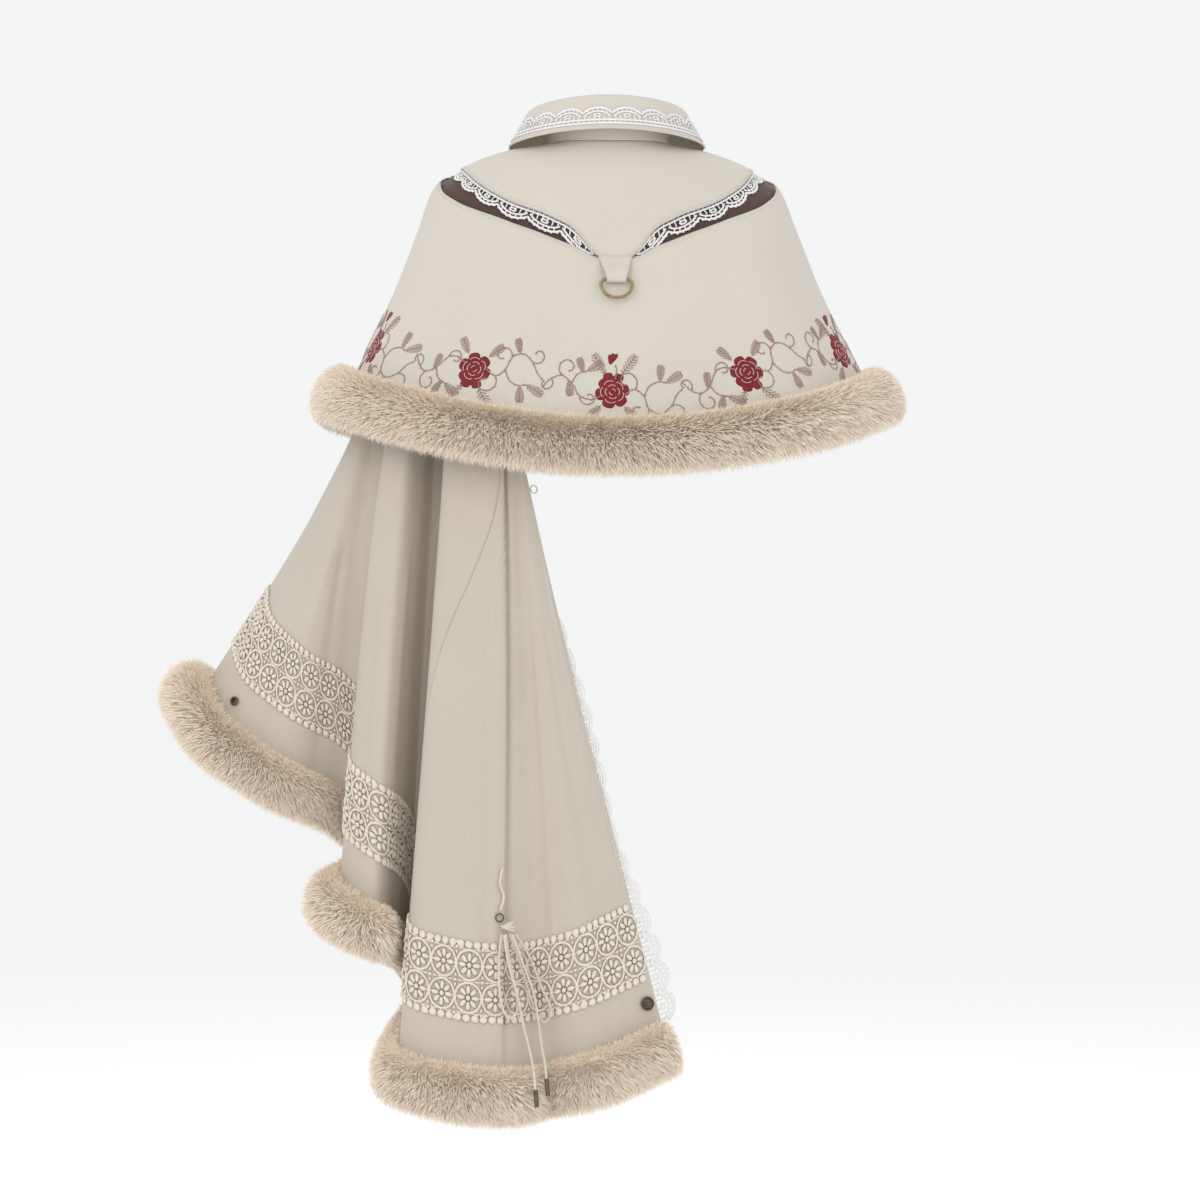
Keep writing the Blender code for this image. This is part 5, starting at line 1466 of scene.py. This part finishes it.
EdgeLace = namedtuple("EdgeLace", "drop reach")
EDGE_LACE = [
    EdgeLace(0.50, 0.003), EdgeLace(0.60, 0.011), EdgeLace(0.68, 0.009), EdgeLace(0.74, 0.004),
    EdgeLace(0.82, 0.016), EdgeLace(0.89, 0.024), EdgeLace(0.95, 0.022),
]
EDGE_LACE_TUCK, EDGE_LACE_UNDER = 0.007, 0.001
EDGE_LACE_HALF_WIDTH = 0.00150
EDGE_STEP = 0.05


def edge_lace_point(number, depth):
    """Point of the lace that shows past the back edge of the half cape."""
    drop = EDGE_LACE[0].drop + (EDGE_LACE[-1].drop - EDGE_LACE[0].drop) * number / EDGE_SCALLOPS
    place = np.full(drop.shape, LAST_PLACE)
    edge = half_cloth(place, drop, -EDGE_LACE_UNDER)
    out = outward(half_surface, place, drop)
    across = unit(edge - half_cloth(place - EDGE_STEP, drop, -EDGE_LACE_UNDER))
    reach = np.interp(drop, column(EDGE_LACE, "drop"), column(EDGE_LACE, "reach"))
    return edge + across * (-EDGE_LACE_TUCK + (reach + EDGE_LACE_TUCK) * depth)[:, None], out


laces["edge"] = scallop_lace("edge_lace", edge_lace_point, EDGE_SCALLOPS, EDGE_LACE_HALF_WIDTH,
                             LACE_HALF_HEIGHT)
print("laces:", {name: len(piece.data.polygons) for name, piece in laces.items()})

# %% [markdown]
# ## Rose embroidery
# A border of roses, thorny vines and leaves is sewn along the hem of the short cape. Satin stitch
# stands a little above the cloth, so petals are low cushions, and vines and leaf veins are thin raised
# threads. One motif is drawn in millimetres about a rose, and every second one is turned upside down.

# %% Thread colours and the way onto the hem
rose_thread = thread_finish("rose_thread", (0.250, 0.014, 0.020), (0.140, 0.006, 0.010), 0.55, 700.0, 0.1)
pale_thread = thread_finish("pale_thread", (0.800, 0.560, 0.530), (0.660, 0.400, 0.380), 0.55, 900.0, 0.2)
vine_thread = thread_finish("vine_thread", (0.420, 0.290, 0.265), (0.300, 0.190, 0.175), 0.55, 900.0, 0.2)
HEM_REFERENCE = 0.80
hem_angles = np.linspace(-179.0, 179.0, 719)
hem_line = capelet_surface(hem_angles, HEM_REFERENCE)
hem_run = run_along(hem_line)
hem_run = hem_run - np.interp(0.0, hem_angles, hem_run)


def on_hem(along, height, lift):
    """Point of the short cape a distance along its hem and above it, and the way out of the cloth."""
    angle = np.interp(along, hem_run, hem_angles)
    share = share_above_hem(angle, height)
    lift = np.broadcast_to(lift, share.shape)
    return capelet_cloth(angle, share, lift), outward(capelet_surface, angle, share)


# %% The motif
Petal = namedtuple("Petal", "count ring long wide offset rise")
ROSE_PETALS = [
    Petal(6, 11.8, 6.6, 7.6, 12.0, 0.55), Petal(5, 7.4, 5.4, 6.4, 40.0, 0.80),
    Petal(4, 4.0, 3.8, 4.6, 5.0, 1.05), Petal(2, 1.4, 2.0, 2.6, 50.0, 1.30),
]
TurnedPetal = namedtuple("TurnedPetal", "x y long wide heading")
ROSE_TURNED = [TurnedPetal(-4.6, 17.2, 4.2, 6.2, 96.0), TurnedPetal(7.4, 16.4, 4.0, 5.8, 68.0)]
VINES = [
    [(12, -3), (24, 3), (33, -5), (37, -19), (48, -25), (60, -18), (68, -6), (75, 0)],
    [(-75, 0), (-66, 11), (-55, 15), (-44, 8), (-34, -6), (-22, -9), (-11, -4)],
    [(33, -5), (40, 6), (50, 10), (58, 8)],
    [(-44, 8), (-38, 18), (-28, 22)],
    [(3, 14), (5, 24), (4, 30)],
]
Curl = namedtuple("Curl", "x y heading start end degrees hand")
CURLS = [
    Curl(24, 3, 40, 12.0, 3.6, 330, 1), Curl(37, -19, -80, 10.0, 3.2, 320, -1),
    Curl(60, -18, 40, 9.0, 3.4, 300, -1), Curl(-55, 15, 150, 11.0, 3.6, 330, -1),
    Curl(-34, -6, -100, 9.0, 3.0, 320, 1), Curl(-66, 11, -40, 8.0, 3.0, 290, -1),
]
Leaf = namedtuple("Leaf", "x y heading long wide")
LEAVES = [
    Leaf(-7, 19, 122, 19, 8.0), Leaf(10, 19, 50, 20, 8.0), Leaf(58, 8, 24, 15, 7.0),
    Leaf(52, 10, 80, 13, 6.5), Leaf(-28, 22, 30, 14, 7.0), Leaf(-32, 20, 110, 12, 6.0),
    Leaf(12, -16, -48, 14, 7.0), Leaf(-12, -15, -130, 14, 7.0), Leaf(45, -25, -110, 12, 6.0),
    Leaf(-47, 10, -80, 12, 6.0),
]
BUD = [
    TurnedPetal(0.0, 37.0, 6.2, 3.2, 70.0), TurnedPetal(2.6, 37.5, 6.0, 2.6, 50.0),
    TurnedPetal(-2.4, 36.0, 5.6, 2.4, 96.0),
]
MM = 0.001
VINE_HALF, VEIN_HALF, PALE_HALF = 0.00078, 0.00062, 0.00048
LEAF_VEINS = 7
LEAF_GROWTH = 1.4
PETAL_SQUARENESS = 0.62
THORN_STEP = 0.0085
CURL_STEPS = 20
TURNED_RISE = 0.6


def turned_by(heading, ahead, side):
    """Points given by how far ahead and to the side they lie, for a heading."""
    return np.stack((ahead * math.cos(heading) - side * math.sin(heading),
                     ahead * math.sin(heading) + side * math.cos(heading)), -1)


def rose_unit(turned):
    """Petals, pale lines and threads of one motif in millimetres about its rose."""
    petals, pale, threads = [], [], []
    for ring in ROSE_PETALS:
        for number in range(ring.count):
            heading = math.radians(ring.offset + 360.0 * number / ring.count)
            petals.append((*polar(ring.ring, heading), ring.long, ring.wide, heading, ring.rise))
            edge = np.radians(np.linspace(-62.0, 62.0, 9))
            reach = ring.ring + ring.long * 0.94 * np.cos(edge)
            pale.append(turned_by(heading, reach, ring.wide * 0.94 * np.sin(edge)))
    pale = pale[ROSE_PETALS[0].count:]
    for row in ROSE_TURNED + (BUD if turned else []):
        petals.append((row.x, row.y, row.long, row.wide, math.radians(row.heading), TURNED_RISE))
    for spots in VINES[:None if turned else -1]:
        threads.append((smooth_line(np.array(spots, float), 2.0), VINE_HALF))
    for curl in CURLS:
        point, heading, line = np.array((curl.x, curl.y), float), math.radians(curl.heading), []
        turn = math.radians(curl.degrees) / CURL_STEPS
        for step in range(CURL_STEPS + 1):
            line.append(point.copy())
            radius = curl.start + (curl.end - curl.start) * step / CURL_STEPS
            heading += curl.hand * turn
            point += radius * turn * np.array((math.cos(heading), math.sin(heading)))
        threads.append((np.array(line), VINE_HALF))
    for leaf in LEAVES:
        leaf = leaf._replace(long=leaf.long * LEAF_GROWTH, wide=leaf.wide * LEAF_GROWTH)
        heading = math.radians(leaf.heading)
        ahead = np.array((math.cos(heading), math.sin(heading)))
        side = np.array((-math.sin(heading), math.cos(heading)))
        base = np.array((leaf.x, leaf.y), float)
        threads.append((base + np.linspace(0.0, leaf.long, 4)[:, None] * ahead, VEIN_HALF))
        for vein in range(1, LEAF_VEINS + 1):
            at = leaf.long * (vein - 0.4) / (LEAF_VEINS + 0.4)
            wide = leaf.wide * 0.5 * math.sin(math.pi * (vein + 0.4) / (LEAF_VEINS + 1.6)) ** 0.7
            for hand in (-1.0, 1.0):
                start = base + ahead * at
                end = base + ahead * (at + wide * 0.95) + side * hand * wide
                threads.append((np.stack((start, 0.5 * (start + end) + ahead * -0.3, end)), VEIN_HALF))
    return petals, pale, threads


# %% Sew the border
UNIT_LENGTH = 0.150
UNIT_NUMBERS = range(-4, 5)
BORDER_MIDDLE, BORDER_HEIGHT, BORDER_WAVE = -0.007, 0.0885, 0.004
PALE_LIFT, VINE_LIFT = CLOTH + 0.0011, CLOTH + 0.0001
THORN_SIZE = 0.0022


def crowned(outline, centre, along, height, flip, rise):
    """Low closed cushion of satin stitch on the hem."""
    def place(scale, lift):
        flat = centre + (outline - centre) * scale
        return on_hem(along + flat[:, 0] * MM, height + flip * flat[:, 1] * MM, lift)[0]

    count = len(outline)
    rim, inner = place(1.0, CLOTH - 0.0004), place(0.78, CLOTH + rise * MM * 0.85)
    top = place(0.0, CLOTH + rise * MM)[:1]
    faces = [(k, (k + 1) % count, count + (k + 1) % count, count + k) for k in range(count)]
    faces += [(count + k, count + (k + 1) % count, 2 * count) for k in range(count)]
    faces.append(tuple(range(count - 1, -1, -1)))
    if flip < 0:
        faces = [face[::-1] for face in faces]
    return np.concatenate((rim, inner, top)), faces


def petal_outline(x, y, long, wide, heading):
    """Rounded square outline of a petal about its middle."""
    turn = np.linspace(0.0, 2 * math.pi, 17)[:-1]
    cosine, sine = np.cos(turn), np.sin(turn)
    ahead = long * np.sign(cosine) * np.abs(cosine) ** PETAL_SQUARENESS * (1.0 + 0.12 * np.cos(2 * turn))
    side = wide * np.sign(sine) * np.abs(sine) ** PETAL_SQUARENESS
    return np.array((x, y)) + turned_by(heading, ahead, side)


petal_parts, pale_parts, vine_parts, thorns = [], [], [], []
for number in UNIT_NUMBERS:
    flip = -1.0 if number % 2 else 1.0
    along, height = BORDER_MIDDLE + UNIT_LENGTH * number, BORDER_HEIGHT - BORDER_WAVE * flip
    petals, pale, threads = rose_unit(number % 2 == 0)
    for x, y, long, wide, heading, rise in petals:
        outline = petal_outline(x, y, long, wide, heading)
        petal_parts.append(crowned(outline, np.array((x, y)), along, height, flip, rise))
    for line in pale:
        points, out = on_hem(along + line[:, 0] * MM, height + flip * line[:, 1] * MM, PALE_LIFT)
        pale_parts.append(swept(points, out, PALE_HALF, PALE_HALF, sides=4))
    for line, half in threads:
        points, out = on_hem(along + line[:, 0] * MM, height + flip * line[:, 1] * MM, VINE_LIFT)
        vine_parts.append(swept(points, out, half, half * 0.8, sides=5))
        if half == VINE_HALF:
            count = max(2, round(run_along(points)[-1] / THORN_STEP))
            for step, pick in enumerate(np.linspace(1, len(points) - 2, count).astype(int)):
                way = points[pick + 1] - points[pick - 1]
                hand = 1.0 if step % 2 else -1.0
                thorns.append((points[pick], out[pick], unit(np.cross(out[pick], way)) * hand))
embroidery = [
    add_piece("embroidered_petals", *joined(petal_parts), rose_thread, "ivory_cloth"),
    add_piece("embroidered_pale_lines", *joined(pale_parts), pale_thread, "ivory_cloth"),
    add_piece("embroidered_vines", *joined(vine_parts), vine_thread, "ivory_cloth"),
]
thorn_motif = (np.array(((-0.2, -0.4, -0.1), (-0.2, 0.4, -0.1), (1.0, 0.0, 0.1), (0.0, 0.0, 0.4))),
               [(0, 1, 2), (0, 2, 3), (2, 1, 3), (1, 0, 3)])
thorn_marks, thorn_out, thorn_way = (np.array(values) for values in zip(*thorns))
embroidery.append(lay_motifs("embroidered_thorns", thorn_marks, thorn_out, thorn_way, thorn_motif, THORN_SIZE,
                             vine_thread))
print("embroidery faces:", [len(piece.data.polygons) for piece in embroidery], "thorns", len(thorns))

# %% [markdown]
# ## Tab, ring and fastenings
# A strip of the yoke's cloth is folded round the straight bar of a brass D-ring. The ring hangs on its
# bar and can swing, so it rides on its own body. A pewter button, a press stud and a thread loop finish
# the half cape. Round pieces are turned from a profile, as a maker would turn them on a lathe.

# %% The bar of the ring and the tab
TAB_TOP_Z, TAB_TOP_HALF_WIDTH, TAB_END_HALF_WIDTH, TAB_BACK_RUN = -0.124, 0.0200, 0.0105, 0.013
RING_BAR_Z, RING_STANDOFF, RING_HALF_WIDTH, RING_DROP, RING_WIRE = -0.160, 0.0066, 0.0168, 0.0210, 0.0033
BAR_CLEARANCE, RING_CORNER, RING_ROUNDNESS = 0.0004, 0.2, 0.8
LAYER_GAP = 0.0005
TabRow = namedtuple("TabRow", "along bend_share")
TAB_LINE = [TabRow(1.0, -0.9), TabRow(0.78, -0.25), TabRow(0.45, 0.45), TabRow(0.2, 1.0)]
bar_shares = np.linspace(CAPELET_RINGS[3].share, CAPELET_RINGS[5].share, 200)
bar_heights = capelet_surface(np.zeros(200), bar_shares)[:, 2]
bar_share = np.interp(-RING_BAR_Z, -bar_heights, bar_shares)
ring_out = outward(capelet_surface, np.array(0.0), bar_share)
ring_down = np.array((0.0, ring_out[2], -ring_out[1]))
ring_down = ring_down if ring_down[2] < 0 else -ring_down
ring_centre = capelet_surface(0.0, bar_share) + ring_out * RING_STANDOFF

bend = RING_WIRE / 2 + BAR_CLEARANCE + CLOTH / 2
run = RING_BAR_Z - TAB_TOP_Z
yoke_tip = capelet_surface(0.0, SLIT_EDGES[0].yoke_edge)
rest = float(np.dot(yoke_tip - ring_centre, ring_out)) + CLOTH + LAYER_GAP + CLOTH / 2
lowest = RING_STANDOFF - CLOTH - LAYER_GAP - CLOTH / 2
tab_path = [(run * row.along, bend * row.bend_share + rest * (1.0 - row.bend_share)) for row in TAB_LINE]
for turn in np.radians(range(0, 181, 15)):
    tab_path.append((bend * math.sin(turn), bend * math.cos(turn)))
tab_path += [(-TAB_BACK_RUN * 0.5, -0.5 * (bend + lowest)), (-TAB_BACK_RUN, -lowest)]
tab_line = smooth_line(tab_path, 0.0008)
tab_step = unit(np.gradient(tab_line, axis=0))
tab_normal = tab_step[:, :1] * ring_out - tab_step[:, 1:] * ring_down
front_part = np.arange(len(tab_line)) <= np.argmax(tab_line[:, 0])
tab_share = np.where(front_part, np.clip(tab_line[:, 0] / run, 0.0, 1.0), 0.0)
tab_half = TAB_END_HALF_WIDTH + (TAB_TOP_HALF_WIDTH - TAB_END_HALF_WIDTH) * tab_share
tab_middle = ring_centre + tab_line[:, :1] * ring_down + tab_line[:, 1:] * ring_out
tab_sides = np.linspace(-1.0, 1.0, 11)[None, :, None] * tab_half[:, None, None] * np.array((1.0, 0.0, 0.0))
tab_grid = tab_middle[:, None] + tab_sides
tab_lift = 0.5 * CLOTH * tab_normal[:, None]
across_way, along_way = tab_grid[1:, 1:] - tab_grid[1:, :-1], tab_grid[1:, 1:] - tab_grid[:-1, 1:]
if (np.cross(across_way, along_way) * tab_lift[1:]).sum() < 0:
    tab_grid = tab_grid[:, ::-1]
tab = add_wall("ring_tab_cloth", tab_grid + tab_lift, tab_grid - tab_lift, ivory_weave, "ivory_cloth")
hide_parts("ring_tab")
sheets["ring_tab"] = (tab, flat_size(tab_grid + tab_lift))
print("tab", sheets["ring_tab"][1])

# %% The ring
bar = [(x, 0.0) for x in np.linspace(-0.8, 0.8, 11) * RING_HALF_WIDTH]
corner = RING_CORNER * RING_DROP
turns_of_bow = np.linspace(0.0, math.pi, 41)
RING_SIDES = 16
bow = [(math.copysign(abs(math.cos(turn)) ** RING_ROUNDNESS, math.cos(turn)) * RING_HALF_WIDTH,
        corner + (RING_DROP - corner) * math.sin(turn)) for turn in turns_of_bow]
outline = ring_centre + np.array([ring_down * y + np.array((x, 0.0, 0.0)) for x, y in bar + bow])
ring_normals = np.broadcast_to(ring_out, outline.shape)
ring_piece = add_piece("brass_ring", *ring_tube(outline, ring_normals, RING_WIRE / 2, RING_SIDES),
                       antique_brass, "antique_brass", body="ring")
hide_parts("d_ring")
print("ring points", len(outline))

# %% Button, stud and thread loop
StudPlace = namedtuple("StudPlace", "node name place above_hem radius height")
STUDS = [
    StudPlace("press_stud_cap", "pewter_button", 20.86, 0.0745, 0.0075, 0.0040),
    StudPlace("press_stud_socket", "press_stud", 7.02, 0.0710, 0.0050, 0.0030),
]
ProfileRow = namedtuple("ProfileRow", "radius height")
STUD_PROFILES = {
    "pewter_button": [ProfileRow(0.90, 0.0), ProfileRow(1.0, 0.12), ProfileRow(1.0, 0.45),
                      ProfileRow(0.96, 0.62), ProfileRow(0.90, 0.66), ProfileRow(0.85, 0.58),
                      ProfileRow(0.80, 0.50), ProfileRow(0.70, 0.60), ProfileRow(0.55, 0.74),
                      ProfileRow(0.40, 0.84), ProfileRow(0.28, 0.80), ProfileRow(0.22, 0.90),
                      ProfileRow(0.10, 1.0), ProfileRow(0.02, 1.0)],
    "press_stud": [ProfileRow(0.92, 0.0), ProfileRow(1.0, 0.15), ProfileRow(1.0, 0.50),
                   ProfileRow(0.92, 0.82), ProfileRow(0.78, 1.0), ProfileRow(0.64, 0.95),
                   ProfileRow(0.55, 0.60), ProfileRow(0.48, 0.30),
                   ProfileRow(0.30, 0.24), ProfileRow(0.02, 0.24)],
}
RELIEF_PETALS = 6
STUD_LIFT = CLOTH + 3 * LAYER_GAP
for stud in STUDS:
    drop = drop_above_hem(np.array(stud.place), stud.above_hem)
    out = outward(half_surface, np.array(stud.place), drop)
    base = half_surface(stud.place, drop) + out * STUD_LIFT
    profile = [(stud.radius * row.radius, stud.height * row.height) for row in STUD_PROFILES[stud.name]]

    def petals(radius, turn, stud=stud):
        part = radius / stud.radius
        band = np.exp(-((part - 0.52) / 0.14) ** 2)
        return 0.16 * stud.height * band * np.cos(RELIEF_PETALS * turn)

    relief = petals if stud.name == "pewter_button" else None
    piece = add_piece(stud.name, *lathe(profile, base, out, 48, relief), dark_pewter, "dark_metal")
    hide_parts(stud.node)

THREAD_LOOP_DROP, THREAD_LOOP_REACH, THREAD_WIRE = 0.355, 0.0085, 0.0014
edge = half_surface(LAST_PLACE, THREAD_LOOP_DROP)
loop_across = unit(edge - half_surface(LAST_PLACE - 0.05, THREAD_LOOP_DROP))
loop_along = unit(half_surface(LAST_PLACE, THREAD_LOOP_DROP + 0.05) - edge)
start = edge + loop_across * (THREAD_WIRE + LAYER_GAP)
radius = THREAD_LOOP_REACH / 2
loop = start + loop_across * radius * (1.0 - np.cos(turns)) + loop_along * radius * np.sin(turns)
loop_out = np.broadcast_to(np.cross(loop_along, loop_across), loop.shape)
thread_loop = add_piece("thread_loop_cord", *ring_tube(loop, loop_out, THREAD_WIRE / 2), cream_cord,
                        "cream_cord")
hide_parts("thread_loop")
print("fastenings:", [stud.name for stud in STUDS])

# %% [markdown]
# ## Piping and stitches
# The edge of the collar is piped with a thin covered cord. Rows of small stitches hold the yoke's edge,
# the tab and the back edge of the half cape. A stitch is a tiny cushion of thread, set at even steps
# along a line by the same node tree as the medallions.

# %% Collar piping and rows of stitches
PIPING_HALF, PIPING_POINTS, PIPING_SIDES, PIPING_LENGTH = 0.0013, 160, 8, 0.6
angles = np.linspace(-COLLAR_END_ANGLE, COLLAR_END_ANGLE, PIPING_POINTS)
fall_edge = np.full(PIPING_POINTS, 1.0)
line = collar_cloth(angles, fall_edge, np.full(PIPING_POINTS, CLOTH / 2))
out = outward(collar_surface, angles, fall_edge)
along = np.repeat(np.linspace(0.0, PIPING_LENGTH, PIPING_POINTS), PIPING_SIDES)
add_piece("collar_piping", *swept(line, out, PIPING_HALF, PIPING_HALF, sides=PIPING_SIDES), ivory_weave,
          "ivory_cloth", uv=along[:, None] * np.array((1.0, 0.01)))
STITCH_PITCH, STITCH_HALF = 0.0034, 0.0012
stitch_motif = dome((0.0, 0.0), 1.0, 0.30, 0.26, sides=6)
# The stitch thread is darker than the cloth: partly its own colour, partly painted shade, so that the row on
# the tab shows as the shadowed line under the tab's stitched fold.
stitch_thread = thread_finish("stitch_thread", (0.60, 0.55, 0.47), (0.44, 0.40, 0.33), 0.75, 1500.0)


def stitch_row(name, line, out):
    """Even stitches along a line on the cloth."""
    run = run_along(line)
    at = np.arange(STITCH_PITCH / 2, run[-1], STITCH_PITCH)
    marks = np.stack([np.interp(at, run, line[:, axis]) for axis in range(3)], -1)
    ways = np.stack([np.interp(at, run, np.gradient(line[:, axis])) for axis in range(3)], -1)
    outs = np.stack([np.interp(at, run, out[:, axis]) for axis in range(3)], -1)
    return lay_motifs(name, marks, outs, unit(ways), stitch_motif, STITCH_HALF, stitch_thread)


YOKE_STITCH_SHARE = 0.011
angles = np.linspace(-BACK_SEAM_ANGLE + 1.0, BACK_SEAM_ANGLE - 1.0, 400)
shares = slit_edge("yoke_edge", angles) - YOKE_STITCH_SHARE
rows = [stitch_row("yoke_stitches", capelet_cloth(angles, shares, np.full(400, CLOTH)),
                   outward(capelet_surface, angles, shares))]
shares = slit_edge("body_edge", angles) + YOKE_STITCH_SHARE
rows.append(stitch_row("slit_stitches", capelet_cloth(angles, shares, np.full(400, CLOTH)),
                       outward(capelet_surface, angles, shares)))
drops = np.linspace(0.34, 0.985, 300)
places = np.full(300, LAST_PLACE - 0.09)
rows.append(stitch_row("half_edge_stitches", half_cloth(places, drops, np.full(300, CLOTH)),
                       outward(half_surface, places, drops)))
# The tab's row of stitches is dark with painted shade and stands for the shadowed line under the tab's
# stitched fold.
tab_row = int(np.argmin(np.abs(tab_line[:, 0] - 0.42 * run)))
line = (tab_grid + tab_lift)[tab_row, 1:-1]
rows.append(stitch_row("tab_stitches", line, np.broadcast_to(tab_normal[tab_row], line.shape)))
print("stitch rows:", len(rows))

# %% [markdown]
# ## The sheets
# Each panel is kept in sheets with the size and area of its cut; the loop below goes over them and does
# nothing.

for name, (thing, (flat, area)) in sheets.items():
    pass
